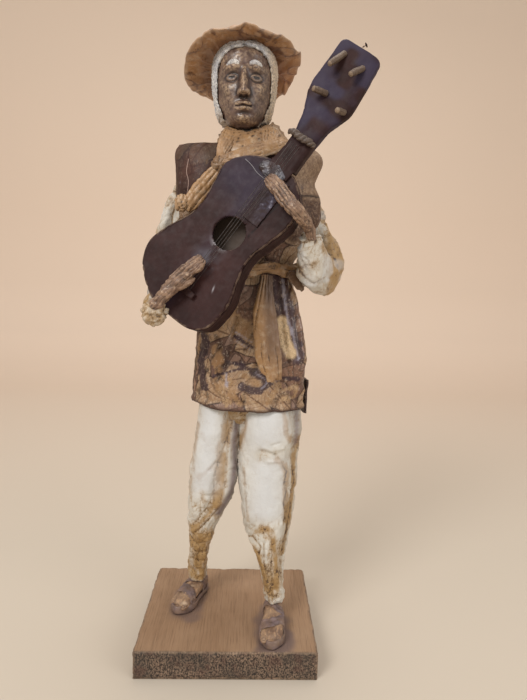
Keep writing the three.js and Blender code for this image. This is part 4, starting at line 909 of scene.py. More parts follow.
# Leaf shapes laid at random angles. Each has a pointed outline, a rib and side veins.
effect = leaf_print = new_effect("leaf print", {"Cloth": "Vector", "Scale": 0.06, "Fullness": 0.36},
                                 ["Leaf", "Veins", "Rim", "Tone"])
scaled = effect.add("VectorMath", {0: effect.source["Cloth"], "Scale": effect.source["Scale"]}, operation="SCALE")
spot = effect.tree.nodes.new("ShaderNodeTexVoronoi")
spot.voronoi_dimensions = "2D"
spot = effect.join(spot, {"Vector": scaled, "Scale": 1.0, "Randomness": 0.85})
local = effect.add("VectorMath", {0: scaled, 1: spot["Position"]}, operation="SUBTRACT")
chance = effect.add("SeparateColor", {0: spot["Color"]}, "Red")
turned = effect.add("VectorRotate", {"Vector": local, "Angle": effect.times(chance, 6.2832)}, rotation_type="Z_AXIS")
along = effect.add("SeparateXYZ", {0: turned}, "X")
off_rib = effect.calc("ABSOLUTE", effect.add("SeparateXYZ", {0: turned}, "Y"))
taper = effect.calc("POWER", effect.times(effect.calc("ABSOLUTE", along), 1.55), 1.6)
taper = effect.calc("MAXIMUM", effect.minus(1.0, taper), 0.0)
inside = effect.minus(effect.times(taper, effect.source["Fullness"]), off_rib)
leaf = effect.span(inside, 0.0, 0.03)
slanted = effect.calc("SINE", effect.times(effect.minus(along, effect.times(off_rib, 1.1)), 44.0))
veins = effect.calc("MAXIMUM", effect.span(off_rib, 0.012, 0.035, 1.0, 0.0),
                    effect.span(slanted, 0.86, 0.98, 0.0, 0.7))
rim = effect.times(effect.span(inside, -0.035, 0.0), effect.span(inside, 0.02, 0.05, 1.0, 0.0))
effect.give(Leaf=leaf, Veins=effect.times(veins, leaf), Rim=rim,
            Tone=effect.add("SeparateColor", {0: spot["Color"]}, "Green"))

paint = printed_paper = Finish("glazed leaf print")
cloth = paint.add("CombineXYZ", {0: paint.mark("u"), 1: paint.mark("v"), 2: 0.0})
bent = paint.grain(60.0, 2.0)
bent = paint.add("CombineXYZ", {0: paint.times(bent, 9.0), 1: paint.times(bent, -7.0), 2: 0.0})
cloth = paint.add("VectorMath", {0: cloth, 1: bent}, operation="ADD")
moved = paint.add("VectorMath", {0: cloth, 1: (37.0, 23.0, 0.0)}, operation="ADD")
large = paint.use(leaf_print, Cloth=cloth, Scale=0.052, Fullness=0.44)
little = paint.use(leaf_print, Cloth=moved, Scale=0.083, Fullness=0.3)
sheet = paint.use(crumpled_paper, Fineness=380.0)
cloud, yoke, shiny = sheet["Cloud"], paint.mark("yoke"), paint.mark("sheen")
speck = paint.grain(800.0, 5.0, (1, 1, 0.7), 6.0, 0.7)
leaf_tone = paint.blend(paint.span(paint.grain(420.0, 3.0), 0.45, 0.7, 0.0, 0.6),
                        paint.blend(large["Tone"], "B59779", "9C7D60"), "C6B198")
shown = paint.span(large["Tone"], 0.12, 0.18)
middling, fine_speck = paint.span(cloud, 0.35, 0.65), paint.span(speck, 0.4, 0.6)
paint.colour = paint.blend(middling, "5F463C", "8A6A58")
paint.over(little["Leaf"], paint.blend(little["Tone"], "94705A", "8C7468"), 0.85)
paint.over(little["Rim"], "3A2822", 0.7)
paint.over(large["Leaf"], leaf_tone, shown)
paint.over(paint.times(large["Veins"], shown), "5A3D2A", 0.75)
paint.over(paint.times(large["Rim"], shown), "33211B", 0.85)
paint.over(yoke, paint.blend(paint.span(cloud, 0.4, 0.6), "2B1512", "42241F"), 0.85)
paint.over("panel", paint.blend(fine_speck, "4F392F", "755C4A"))
paint.over("cap", paint.blend(fine_speck, "775F4D", "937A62"))
paint.over("seam", "2A1B16")
paint.over("tan", paint.blend(middling, "97734F", "B69876"), 0.9)
paint.over("dark", "3E2C33", 0.92)
paint.over(paint.span(paint.mark("gold"), 0.35, 0.8, 0.0, 0.95), "D9BD96")
# Painted highlight in pale blue-grey along the light strokes.
paint.over("light", "ADA8B6", paint.span(cloud, 0.36, 0.6, 0.35, 0.9))
paint.over(sheet["Lines"], "35221C", paint.span(cloud, 0.4, 0.6, 0.15, 0.6))
paint.over(paint.span(paint.mark("wax"), 0.3, 0.9, 0.0, 0.85), "2F1D18")
paint.over(paint.span(speck, 0.56, 0.7), "C8B4A0", paint.span(yoke, 0.0, 1.0, 0.7, 0.15))
paint.over("hem", "4A3630")
paint.over("thread", "B79C92")
gloss = paint.span(paint.grain(130.0, 3.0), 0.35, 0.65, 0.42, 0.6)
gloss = paint.plus(paint.minus(gloss, paint.times(shiny, 0.22), True), paint.times(yoke, 0.15), True)
paint.finish((sheet["Height"], 0.4, 0.7), Roughness=gloss, Specular_IOR_Level=0.32,
             Coat_Weight=paint.plus(0.02, paint.times(shiny, 0.6), True))

thread = wire([(-25.2, -17.8, 276.4), (-26.1, -18.2, 269.7), (-25.1, -18.2, 264.9), (-25.9, -18.2, 257.6)],
              (0, -1, 0.2), 0.15, 60, 8)
build("tunic_of_printed_paper", printed_paper, "print", "tunic", tunic_skin, panel_edge,
      shell(thread, {"thread": 1.0}))


# ------------------------------------------------------------------ sash
# A golden paper sash is wrapped twice round the waist and tucked in at the left front.
# One end hangs down the skirt, pleated lengthwise, and the rest of it stands out as a flap.

paint = straw_paper = paint_paper("golden glazed paper", "B28E6B", "8D6C4C", "AC8354", "38251A", 0.4, (0.36, 0.52))
paint.over(paint.span(paint.grain(330.0, 4.0), 0.52, 0.72, 0.0, 0.7), "CBB397")
# Darker paper in patches, and painted shade on the sash tail's shaded side and under the hat brim round the head.
paint.over("dusk", "5F4839")
paint.over(paint.span(paint.mark("wax"), 0.3, 0.85, 0.0, 0.75), "3A281C")
paint.over("pale", "DCCBB6")
paint.over("ruddy", "955C3C")
paint.finish()


def pleated(grid, along, angle, count, depth, seed):
    """Uneven lengthwise pleats over a flat limb, with the glaze in their valleys."""
    wander = 1.2 * noise(grid * (0.5, 0.5, 0.25), 3.4, seed)
    fold = np.abs(np.sin(np.sin(angle) * count * (1 + 0.2 * np.sin(along * 4 + seed)) + wander + along * 1.6))
    strong = patchy(grid * (1, 1, 0.3), 4.0, seed + 6, -0.8, 0.4)
    facets, crease = paper(grid * (1, 1, 0.6), 3.4, seed + 3)
    grid = push(grid, depth * strong * (fold ** 0.6 - 0.6) + 0.22 * facets)
    return grid, {"wax": unit(0.85 * strong * bump(fold, 0.2) + 0.2 * crease), "gold": 0.5}


around = laps(260).T
section = laps(44)
x, y, width, depth = tunic_levels(WAIST)
slack = 0.5 * np.cos(section * 3 + around * 2)
reach = 1.7 * np.cos(section) + 0.35 * slack
arch = 2.2 * bump(turn_from(around, -1.15), 0.3)
lift = (3.7 + slack - 0.4 * arch) * np.sin(section) - 1.5 * np.sin(around) ** 2 + 1.2 + arch
across, ahead = outline(around + np.pi / 2, 2.6)
band = np.stack([x + across * (width + 4.3 + reach), y + ahead * (depth + 4 + reach), WAIST + lift], -1)
strand = np.abs(np.sin(lift * 0.95 + 1.6 * around + 1.1 * np.sin(around * 3) + 0.5 * np.sin(around * 7)))
facets, crease = paper(band * (0.5, 1, 1), 3.0, 201)
band = push(band, 0.7 * strand ** 0.7 - 0.45 + 0.7 * facets, True)
band_marks = {"wax": unit(0.7 * bump(strand, 0.16) + 0.5 * crease), "gold": 0.5,
              "dusk": 0.25 + 0.5 * patchy(band, 7.0, 205, -0.1, 0.4)}

tail, along, angle = limb(
    [(23, -22.6, 161.5), (20.2, -22.9, 170), (17.8, -22, 186), (16.6, -20.7, 203), (17.6, -19, 217)], (0, -1, 0),
    [[0, 4, 1], [0.15, 6.4, 1.4], [0.45, 6.8, 1.5], [0.75, 5.2, 1.5], [1, 3, 1.5]], 120, 80)
tail[..., 2] += 1.6 * ease(along, 0.12, 0) * noise(tail * (1, 0.2, 0), 2.2, 211)
tail, tail_marks = pleated(tail, along, angle, 6.2, 0.9, 212)
tail_marks["gold"] = 0.2 + 0.5 * ease(np.sin(angle), 0.0, 0.6)
# Painted shade on one side of the tail. The tail also darkens towards its top.
shadow = 0.5 * ease(np.sin(angle), 0.3, -0.3) * ease(along, 0.05, 0.3)
tail_marks["dusk"] = 0.18 + shadow + 0.4 * ease(along, 0.6, 0.9)

flap, along, angle = limb(
    [(37.5, -13, 209.5), (36, -15.5, 212.5), (33, -16.5, 215.8), (29, -18, 218.5)], (0.4, -1, 0.2),
    [[0, 1.2, 0.5], [0.3, 3.4, 0.7], [0.8, 3.2, 0.8], [1, 1.6, 0.7]], 40, 44)
flap, flap_marks = pleated(flap, along, angle, 4.2, 0.5, 221)
flap_marks["dusk"] = 0.85
build("sash_of_golden_paper", straw_paper, "straw", "sash", shell(band, band_marks, True),
      shell(tail, tail_marks), shell(flap, flap_marks))


# ------------------------------------------------------------------ scarf
# A golden paper kerchief lies round the neck in fan pleats that spread from its knot at
# the right of the collar. Its lower edge is rolled, and one end hangs down to a small knot.

HEAD_X = 3.0
spread_x, spread_y = np.cos(around), np.sin(around)
front = spread_y ** 2
left_side = 0.5 * (spread_x + spread_x ** 2)
half = (10 - 0.6 * front) * np.cos(section)
thickness = 2.4 * np.sin(section)
outward = 17.4 + half * 0.56 + thickness * 0.83
lift = -half * 0.83 + thickness * 0.56 - 6 * front
squeeze = 1 - ease(-spread_x, 0.0, 0.9) * (0.1 + 0.12 * ease(half, -8, 8))
ring = np.stack([HEAD_X + 2.0 + spread_x * outward * squeeze + 2.2 * left_side,
                 0.5 + spread_y * (outward - 1.2), 290 + lift + 1.6 * front + 2.6 * left_side], -1)
from_knot = turn_from(around, np.radians(238))
fan = half / (3.2 + 1.6 * np.abs(from_knot)) + 0.9 * from_knot
fold = np.abs(np.sin(fan * 4.6 + 0.5 * noise(ring, 6.0, 231)))
facets, crease = paper(ring * (0.6, 0.6, 1), 3.4, 232)
rolled = bump(half - 7.6 + 1.2 * front, 1.3)
outer = ease(np.sin(section), -0.4, 0.2)
ring = push(ring, outer * (0.9 * fold ** 0.6 - 0.5) * (1 - rolled) + 0.3 * facets + 0.5 * rolled, True)
ring_marks = {"wax": unit(outer * bump(fold, 0.2) * (1 - rolled) + 0.25 * crease), "gold": 0.35,
              "pale": 0.55 * rolled, "dusk": 0.35 * patchy(ring, 6.0, 236, -0.3, 0.3)}

knot = ball((-8.4, -19.6, 273.4), (4.6, 3.4, 4.9), 44, 52)
spin = np.arctan2(knot[..., 2] - 273.4, knot[..., 0] + 8.4)
wrap = np.abs(np.sin(spin * 2.5 + 0.5 * (knot[..., 1] + 19.6)))
facets, crease = paper(knot, 2.6, 241)
knot = push(knot, 0.8 * wrap ** 0.6 - 0.5 + 0.3 * facets)
knot_marks = {"wax": unit(0.9 * bump(wrap, 0.25) + 0.5 * crease), "gold": 0.4, "dusk": 0.5}

tail, along, angle = limb(
    [(-26.5, -20.6, 250.5), (-22.6, -20.2, 255), (-15.8, -19.9, 263.6), (-8.6, -19.8, 272.6)], (0.15, -1, 0),
    [[0, 3.4, 1.1], [0.2, 4.4, 1.5], [0.8, 3.8, 1.5], [1, 2.6, 1.4]], 80, 64)
tail, tail_marks = pleated(tail, along, angle, 4.6, 0.7, 251)
end = ball((-28, -20.4, 253.4), (3.8, 2.4, 4.6), 40, 44)
facets, crease = paper(end, 2.2, 255)
twist = np.abs(np.sin((end[..., 0] + 28) * 1.3 + (end[..., 2] - 253.4) * 0.5))
end = push(end, 0.45 * facets + 0.6 * twist ** 0.6 - 0.4)
end_marks = {"wax": unit(0.8 * bump(twist, 0.25) + 0.5 * crease), "gold": 0.6, "pale": 0.1}

# Three folds lie over the ring. Only the first, along the collar, has a pale lower edge.
wraps = []
for path, sizes, count, seed, pale in (
        ([(-11, -19.6, 275.5), (-2, -22.9, 276.6), (8, -23.2, 279.4), (18, -19.6, 283.6), (25.6, -11, 288.4),
          (27.4, 0, 291)], [[0, 2.6, 1.1], [0.3, 4.2, 1.3], [0.7, 3.8, 1.3], [1, 2.6, 1.1]], 8.6, 261, 0.4),
        ([(-9, -20.4, 275), (-7.4, -19.6, 281), (-5.2, -16.4, 287), (-3.6, -10.4, 292.4), (-2.4, -4, 295.6)],
         [[0, 2.0, 0.9], [0.35, 3.8, 1.0], [0.8, 3.4, 0.9], [1, 2.2, 0.7]], 7.4, 271, 0),
        ([(17, -20, 281), (17.4, -17.4, 287), (17, -11.8, 293), (15.6, -4, 297)],
         [[0, 2.4, 0.9], [0.4, 4.2, 1.1], [0.8, 3.8, 1.1], [1, 2.4, 0.8]], 7.8, 281, 0)):
    wrap, along, angle = limb(path, (0.1, -1, 0.35), sizes, 100, 64)
    wrap, marks = pleated(wrap, along, angle, count, 0.6, seed)
    marks = {"wax": unit(1.3 * marks["wax"]), "gold": 0.3, "dusk": 0.3 * patchy(wrap, 5.0, seed + 9, -0.2, 0.4),
             "pale": pale * ease(np.sin(angle), -0.75, -0.95)}
    wraps.append(shell(wrap, marks))
build("scarf_of_golden_paper", straw_paper, "straw", "scarf", shell(ring, ring_marks, True),
      shell(knot, knot_marks), shell(tail, tail_marks), shell(end, end_marks), *wraps)


# ------------------------------------------------------------------ head
# The head is hand-modelled and painted a dark purple brown with a gloss varnish, and
# gold is dry-brushed on its high places. The face is a plain, calm one of even proportions.

skull = stations([[295, HEAD_X, -8.4, 3.8, 4], [296.8, HEAD_X, -7, 7, 7.8], [300.4, HEAD_X, -4.2, 10.4, 12.6],
                  [305, HEAD_X, -1.3, 13, 15.8], [311, HEAD_X, 0, 14.8, 17.5], [318, HEAD_X, 1, 15.8, 18.5],
                  [326, HEAD_X, 1.6, 16, 18.9], [333, HEAD_X, 2, 15, 18.2], [337.5, HEAD_X, 2.4, 12, 14.8],
                  [340.4, HEAD_X, 2.8, 7.6, 9.4], [341.6, HEAD_X, 3, 3, 3.6]])
BROW, EYES, EYE_GAP, NOSE_TOP, NOSE_TIP, LIPS, CHIN = 323.8, 318.6, 6.5, 321.7, 310.4, 304.2, 298


def eye_line(side, rise):
    """Height of an eyelid's edge, bowed by rise over the width of the eye."""
    return EYES + rise * (1 - unit(np.abs(side - EYE_GAP) / 3.1) ** 2)


def face_relief(x, z):
    """How far the face stands out of the plain skull at x, z."""
    side = np.abs(x)
    bridge = unit((NOSE_TOP + 1.5 - z) / (NOSE_TOP - NOSE_TIP))
    nose = bump(x, 1.3 + 1.1 * bridge) * (0.9 + 4.4 * bridge)
    nose = nose * ease(z, NOSE_TIP - 2.6, NOSE_TIP - 0.4) * ease(NOSE_TOP + 4 - z, 0, 4)
    wing = 1.7 * bump(side - 2.5, 1.0) * bump(z - NOSE_TIP - 0.1, 1.3)
    nostril = -1.1 * bump(side - 1.4, 0.6) * bump(z - NOSE_TIP + 1.9, 0.55)
    brow = 1.15 * bump(side - 6, 4.4) * bump(z - BROW, 1.8)
    socket = -1.9 * bump(side - EYE_GAP, 3.4) * bump(z - EYES - 0.2, 2.6)
    eyeball = 1.35 * np.sqrt(unit(1.0 - ((side - EYE_GAP) / 3.1) ** 2 - ((z - EYES) / 2.0) ** 2))
    in_eye = ease(np.abs(side - EYE_GAP), 3.2, 2.6)
    upper = 0.4 * in_eye * bump(z - eye_line(side, 0.85), 0.6)
    fold = -0.16 * in_eye * bump(z - eye_line(side, 2.1), 0.35)
    lower = 0.1 * in_eye * bump(z - eye_line(side, -0.85), 0.5)
    cheek = 0.8 * bump(side - 8.8, 3) * bump(z - 312.6, 3.4)
    upper_lip = 1.15 * bump(side - 1.1, 2.4) * bump(z - LIPS - 1.2, 0.85) * ease(side, 4.7, 3.4)
    lower_lip = 1.45 * bump(x, 3.0) * bump(z - LIPS + 1.35, 1.0)
    mouth = 0.7 * bump(x, 5.2) * bump(z - LIPS, 3.4)
    line = -0.8 * ease(side, 4.8, 3.8) * bump(z - LIPS - 0.12 * np.cos(x * 1.2), 0.34)
    groove = -0.3 * bump(x, 0.7) * bump(z - LIPS - 3.6, 1.3)
    under = -0.6 * bump(x, 3.2) * bump(z - LIPS + 3.6, 0.9)
    chin = 1.5 * bump(x, 4) * bump(z - CHIN, 2.4)
    cheek_line = -0.22 * bump(side - 4.0 - (NOSE_TIP - z) * 0.24, 0.55)
    cheek_line = cheek_line * ease(z, LIPS, LIPS + 2) * ease(NOSE_TIP + 1, NOSE_TIP - 1, z)
    return (nose + wing + nostril + brow + socket + eyeball + upper + fold + lower + cheek + upper_lip
            + lower_lip + mouth + line + groove + under + chin + cheek_line)


height = 295 + (341.6 - 295) * np.linspace(0, 1, 220)[:, None] * np.ones((1, 230))
angle = laps(230) * np.ones((220, 1))
x, y, width, depth = skull(height)
across, ahead = outline(angle - 0.42 * np.sin(angle), 2.15)
side = across * width
front = ease(-ahead, 0.25, 0.7)
relief = front * face_relief(side, height)
around_it = sum(front * face_relief(side + dx, height + dz)
                for dx, dz in ((1.1, 0), (-1.1, 0), (0, 1.1), (0, -1.1))) / 4
face = np.stack([x + side, y + ahead * depth - relief, height], -1)
worked = 0.09 * noise(face, 1.3, 301) + 0.12 * noise(face, 4.0, 302)
face = push(face, worked)
eye_part = np.abs(side)
opened = (height < eye_line(eye_part, 0.65)) & (height > eye_line(eye_part, -0.65))
opened = opened & (np.abs(eye_part - EYE_GAP) < 2.9) & (front > 0.5)
iris = bump(np.hypot(eye_part - EYE_GAP, height - EYES - 0.1), 1.5)
orbit = bump(np.hypot((eye_part - EYE_GAP) / 1.5, height - EYES), 2.6)
head_marks = {"high": unit((relief - around_it) * 2.6 + 0.25 * front + 1.6 * worked) * (1 - 0.9 * orbit),
              "low": unit((around_it - relief) * 2.0 + 0.2 * front * orbit), "eye": opened * 1.0,
              "iris": ease(iris, 0.2, 0.45) * opened, "lip": front * (bump(side, 3.6) * bump(height - LIPS, 1.9))}
neck, angle, height = upright(
    stations([[275.4, HEAD_X + 1, 2.5, 9.4, 9.6], [290, HEAD_X + 0.6, 2, 8.6, 9], [303, HEAD_X, 2, 9, 10]]),
    275.4, 303, 40, 70, 2)
neck = push(neck, 0.35 * noise(neck * (1, 1, 0.4), 3.0, 305))

paint = dark_skin = Finish("dark glossy skin paint")
cloud = paint.grain(200.0, 4.0)
paint.colour = paint.blend(paint.span(cloud, 0.35, 0.65), "463129", "614A42")
paint.over("lip", "5F3F39", 0.35)
# Painted shade: the hollows of the face and the eye sockets are darkened.
paint.over(paint.span(paint.mark("low"), 0.1, 0.8, 0.0, 0.85), "24150F")
brush = paint.grain(1100.0, 4.0, (0.6, 1, 0.8), 4.0)
brushed = paint.times(paint.span(paint.mark("high"), 0.0, 0.6), paint.span(brush, 0.36, 0.62))
paint.over(brushed, "B69B7E", 0.9)
paint.over("eye", "7E6E66", 0.6)
paint.over("iris", "1B100C")
paint.finish((brush, 0.12, 0.6), Roughness=paint.span(cloud, 0.3, 0.7, 0.34, 0.5), Coat_Weight=0.35,
             Coat_Roughness=0.24)
build("head_of_painted_pulp", dark_skin, "skin", "head", shell(face, head_marks), shell(neck, {"high": 0.1}))


# ------------------------------------------------------------------ hair
# Raw wool, white with grey, is glued over the back and sides of the head down to the jaw.
# Its edge makes a thick woolly rim round the face. The eyebrows are the same wool.

hair_levels = stations([[300, HEAD_X, 3, 12.6, 13.6], [303, HEAD_X, 2.7, 14.6, 16.2], [310, HEAD_X, 2.5, 16.4, 18.9],
                        [318, HEAD_X, 2.5, 17.6, 20.5], [326, HEAD_X, 2.7, 18, 21], [332, HEAD_X, 3, 17.4, 20.3],
                        [337.5, HEAD_X, 3, 15.2, 17.4], [341.2, HEAD_X, 3, 10.8, 12.4],
                        [343.4, HEAD_X, 3.2, 4, 4.8]])


def tufts(points, size, seed):
    """Distance from the middle of the nearest of scattered round tufts, 0 to about 1."""
    spot = points / size
    low = np.floor(spot).astype(np.int64)
    nearest = np.full(spot.shape[:-1], 9.0)
    for corner in np.ndindex(3, 3, 3):
        grid = low + np.array(corner) - 1
        centre = np.stack([0.5 + 0.42 * noise(grid + 0.5, 1.0, seed + k) for k in range(3)], -1)
        nearest = np.minimum(nearest, np.linalg.norm(grid + centre - spot, axis=-1))
    return unit(nearest)


height = (300.2 + (343.3 - 300.2) * np.linspace(0, 1, 95))[:, None]
x, y, width, depth = hair_levels(height)
opening = 15.2 * unit(1 - (np.clip(height - 321, 0, 13.2) / 13.2) ** 2.5) ** 0.42
opening = np.where(height < 321, 15.2 - 2.6 * ease(height, 310, 300), opening)
start = np.arcsin(np.clip(opening / width, 0, 0.98))
across, ahead = outline(start + (2 * np.pi - 2 * start) * np.linspace(0, 1, 150)[None, :], 2.1)
outer = np.stack([x + across * width, y + ahead * depth, height * np.ones_like(across)], -1)
_, skull_y, skull_width, skull_depth = skull(np.minimum(height, 341.2))
inner = np.stack([x + across * np.minimum(skull_width + 0.6, width - 1.2),
                  skull_y + ahead * np.minimum(skull_depth + 0.6, depth - 1.2),
                  height * np.ones_like(across) - 0.4], -1)


def wool_edge(start, end):
    """Three columns of points bulging forward between two edges of the wool."""
    return [start * (1 - share) + end * share + np.array([0, -0.84 * np.sin(np.pi * share), 0])
            for share in (0.2, 0.5, 0.8)]


hair = np.concatenate([outer, *wool_edge(outer[:, -1:], inner[:, -1:]), inner[:, ::-1],
                       *wool_edge(inner[:, :1], outer[:, :1])], axis=1)
curl = tufts(hair + 0.9 * noise(hair, 2.0, 311)[..., None], 1.5, 312)
hair = push(hair, 1.0 * (0.6 - curl) + 0.35 * noise(hair, 0.7, 313))
skins = [shell(hair, {"deep": ease(curl, 0.45, 0.85),
                      "warm": ease(hair[..., 0], 12, 19) * 0.8 + 0.5 * ease(height, 309, 301)})]
for sign in (-1, 1):
    t = np.linspace(0, 1, 60)[:, None]
    lap = laps(24)
    x = sign * (2.7 + 6.6 * t)
    z = BROW + 0.9 + 1.5 * np.sin(np.pi * (0.15 + 0.75 * t)) - 0.4
    _, y, width, depth = skull(z)
    y = y - (1 - np.abs(x / width) ** 2.15) ** (1 / 2.15) * depth - face_relief(x, z)
    size = 1.15 * np.sin(np.pi * unit(0.1 + 0.84 * t)) ** 0.6
    brow = np.stack([HEAD_X + x + 0 * lap, y - 0.1 + np.cos(lap) * 0.75 * size,
                     z + sign * np.sin(lap) * 1.15 * size], -1)
    tuft = tufts(brow, 1.0, 330 + sign)
    brow = push(brow, 0.35 * (0.6 - tuft) + 0.12 * noise(brow, 0.5, 333))
    skins.append(shell(brow, {"deep": ease(tuft, 0.5, 0.9), "warm": 0.1}))

paint = raw_wool = Finish("raw wool")
fibres = paint.grain(1100.0, 5.0, (1, 1, 0.8), 0.0, 0.7)
paint.colour = paint.blend(paint.span(paint.grain(210.0, 3.0), 0.35, 0.65), "E6E3DE", "B4B5BB")
paint.over("warm", "DDBF93", 0.8)
# Painted shade in the hollows between the tufts of wool, on the hair and on the eyebrows.
paint.over(paint.span(paint.mark("deep"), 0.1, 1.0, 0.0, 0.9), "5A4A40")
paint.over(paint.span(fibres, 0.5, 0.62, 0.0, 0.75), "625E66")
paint.finish((fibres, 0.5, 0.8), Roughness=0.95, Sheen_Weight=0.3, Sheen_Roughness=0.6)
build("hair_of_raw_wool", raw_wool, "wool", "hair", *skins)


# ------------------------------------------------------------------ hat
# A broad hat of straw-coloured crumpled paper is pushed back on the head, so its glazed
# underside faces forward. The brim is bent over a wire, wavy, and torn at one place.

profile = np.array([(0.5, -0.7), (9, -0.7), (17, -0.7), (22, -0.8), (26, -0.9), (30, -0.75), (32.6, -0.6),
                    (33.4, -0.45), (33.7, 0.05), (33.4, 0.5), (32.6, 0.65), (30, 0.75), (26, 0.9), (23.4, 1.2),
                    (21.6, 2.2), (20.9, 4), (20.2, 6.4), (19.3, 9), (18, 11.4), (15.4, 13.4), (11.6, 14.4),
                    (6, 14.9), (0.5, 15)])
steps = np.concatenate([[0], np.cumsum(np.linalg.norm(np.diff(profile, axis=0), axis=1))])
rim_place = steps[8]
places = np.sort(np.concatenate([np.linspace(0, steps[-1], 120), rim_place + np.linspace(-1.6, 1.6, 18)]))
radius, level = [value[:, None] for value in stations(np.column_stack([steps, profile]))(places)]
around_hat = laps(280)
edge = ease(radius, 20, 33.6)
wave = 0.7 * np.sin(around_hat * 3 + 0.7) + 0.5 * np.sin(around_hat * 5 + 2) + 0.3 * np.sin(around_hat * 8)
corners = [(-180, 32.5), (-164, 31.8), (-147, 33.4), (-121, 34.3), (-102, 33), (-86, 33.6), (-69, 33), (-51, 35),
           (-33, 33.4), (-15, 33.8), (0, 31.6), (18, 31), (49, 31), (90, 31.6), (128, 31.4), (157, 32.8), (180, 32.5)]
bearing = (np.degrees(around_hat) + 180) % 360 - 180
trim = 1 + edge * (np.interp(bearing, *np.array(corners).T) / 33.7 - 1)
oval = 1 + 0.09 * (1 - edge) * np.sin(around_hat) ** 2
hat = np.stack([radius * np.cos(around_hat) * trim, radius * np.sin(around_hat) * trim * oval,
                level + edge * wave], -1)
flat = hat * (1, 1, 0.15)
facets, crease = paper(flat, 11, 401)
small, small_crease = paper(flat, 4.0, 431)
near_head = bump(radius - 21, 5.5)
spokes = np.abs(np.sin(around_hat * 13 + 1.6 * noise(flat, 9.0, 441)))
ragged = noise(np.stack([np.cos(around_hat) * 9, np.sin(around_hat) * 9, 0 * around_hat], -1), 1.1, 451)
radial = np.max([bump(turn_from(around_hat, np.radians(a) + 0.05 * np.sin(radius / 2.5 + a)), 0.04)
                 * ease(radius, start, start + 4)
                 for a, start in ((-147, 24), (-118, 27), (-88, 22), (-52, 24), (-70, 28), (178, 25), (150, 22),
                                  (20, 23), (40, 25))], axis=0)
tuck = bump(turn_from(around_hat, -0.37 + 0.012 * (radius - 28)), 0.075) * ease(radius, 25, 32)
droop = -2.6 * ease(radius, 20, 36) * ease(-np.sin(around_hat), 0.1, 0.9)
relief = 1.1 * facets + 0.16 * small + near_head * (0.7 * spokes - 0.4) + 0.4 * radial + 2.0 * tuck + droop
hat[..., 2] += np.where(radius > 17, relief, 0.6 * relief)
outward = hat[..., :2] / np.maximum(np.linalg.norm(hat[..., :2], axis=-1, keepdims=True), 1e-9)
hat[..., :2] += outward * (0.15 * ragged * ease(radius, 28, 33.6))[..., None]
tilt, roll = np.radians(19.5), np.radians(3.8)
x, y, z = np.moveaxis(hat, -1, 0)
y, z = y * np.cos(tilt) + z * np.sin(tilt), -y * np.sin(tilt) + z * np.cos(tilt)
x, z = x * np.cos(roll) - z * np.sin(roll), x * np.sin(roll) + z * np.cos(roll)
hat = np.stack([x + 1.3, y + 7, z + 330.4], -1)
hollows = 0.6 * near_head * bump(spokes, 0.2) + 0.75 * radial + 0.8 * tuck
hat_marks = {"wax": unit(0.85 * crease ** 2 + 0.35 * small_crease ** 2 + hollows), "gold": 0.7,
             "pale": 0.3 * bump(radius - 33.4, 1.4) * ease(level, 1.2, 0.9),
             # Painted shade under the brim round the head, and in the low facets of the underside.
             "dusk": unit(0.75 * bump(radius - 20.5, 4.5) + 0.3 * ease(facets, 0.3, -0.4)) * (level < 1),
             "ruddy": 0.25 + 0.3 * bump(turn_from(around_hat, 0.35), 0.6)}
build("hat_of_crumpled_paper", straw_paper, "straw", "hat", shell(hat, hat_marks))


# ------------------------------------------------------------------ guitar body
# A hollow toy guitar built from thin card and wood: a top with a round soundhole, a rim
# bent round the edge, and a back. It is stained a purple brown, with its edges rubbed.

slope, twist = np.radians(53), np.radians(18)
ALONG_NECK = np.array([np.cos(slope), 0, np.sin(slope)])
ACROSS = np.array([np.sin(slope), 0, -np.cos(slope)]) * np.cos(twist) + np.array([0, -np.sin(twist), 0])
OUTWARD = np.cross(ACROSS, ALONG_NECK)
SOUNDHOLE = np.array([-2.4, -40, 236.6])
HOLE_RADIUS = 8.5


def on_guitar(points):
    """Points of the guitar's own frame: x across, y to the headstock, z out of its face."""
    points = np.asarray(points, float)
    return SOUNDHOLE + points[..., :1] * ACROSS + points[..., 1:2] * ALONG_NECK + points[..., 2:] * OUTWARD


def stain(name, low, high, worn_colour, reach):
    """Purple-brown stain over wood or card, rubbed along its edges."""
    paint = Finish(name)
    own_axes = [paint.add("VectorMath", {0: paint.place, 1: tuple(axis)}, "Value", operation="DOT_PRODUCT")
                for axis in (ACROSS, ALONG_NECK, OUTWARD)]
    grain = paint.use(wood_grain, Position=paint.add("CombineXYZ", dict(enumerate(own_axes))), Fineness=700.0)
    paint.colour = paint.blend(paint.span(paint.grain(95.0, 4.0), 0.36, 0.66), low, high)
    paint.over(paint.span(grain["Tone"], 0.3, 1.0, 0.0, 0.4), low)
    rub_edges(paint, worn_colour, reach, 0.75)
    smear = paint.grain(330.0, 5.0, offset=9.0)
    paint.over(paint.span(smear, 0.6, 0.8, 0.0, 0.22), "5A4E54")
    paint.finish((paint.plus(grain["Height"], smear), 0.14, 0.6), Specular_IOR_Level=0.16,
                 Roughness=paint.span(smear, 0.35, 0.65, 0.48, 0.62))
    return paint


paint = stained = stain("purple brown stain", "2A1817", "3B2625", "84705F", 0.12)
# Painted reflection: a bluish sheen on the upper bout and along a band of the top, and bluish glints on the
# headstock.
paint.over("blue", "3D384C", 0.5)
paint.over("ruddy", "432523", 0.5)
paint.over("bare", "5F5249")
paint.over("glue", "7A7B86")
paint.over("pale", "B9B6BC")
paint.over("line", "120B0A")
paint.finish(Coat_Weight=paint.times(paint.mark("shiny"), 0.7), Coat_Roughness=0.3)

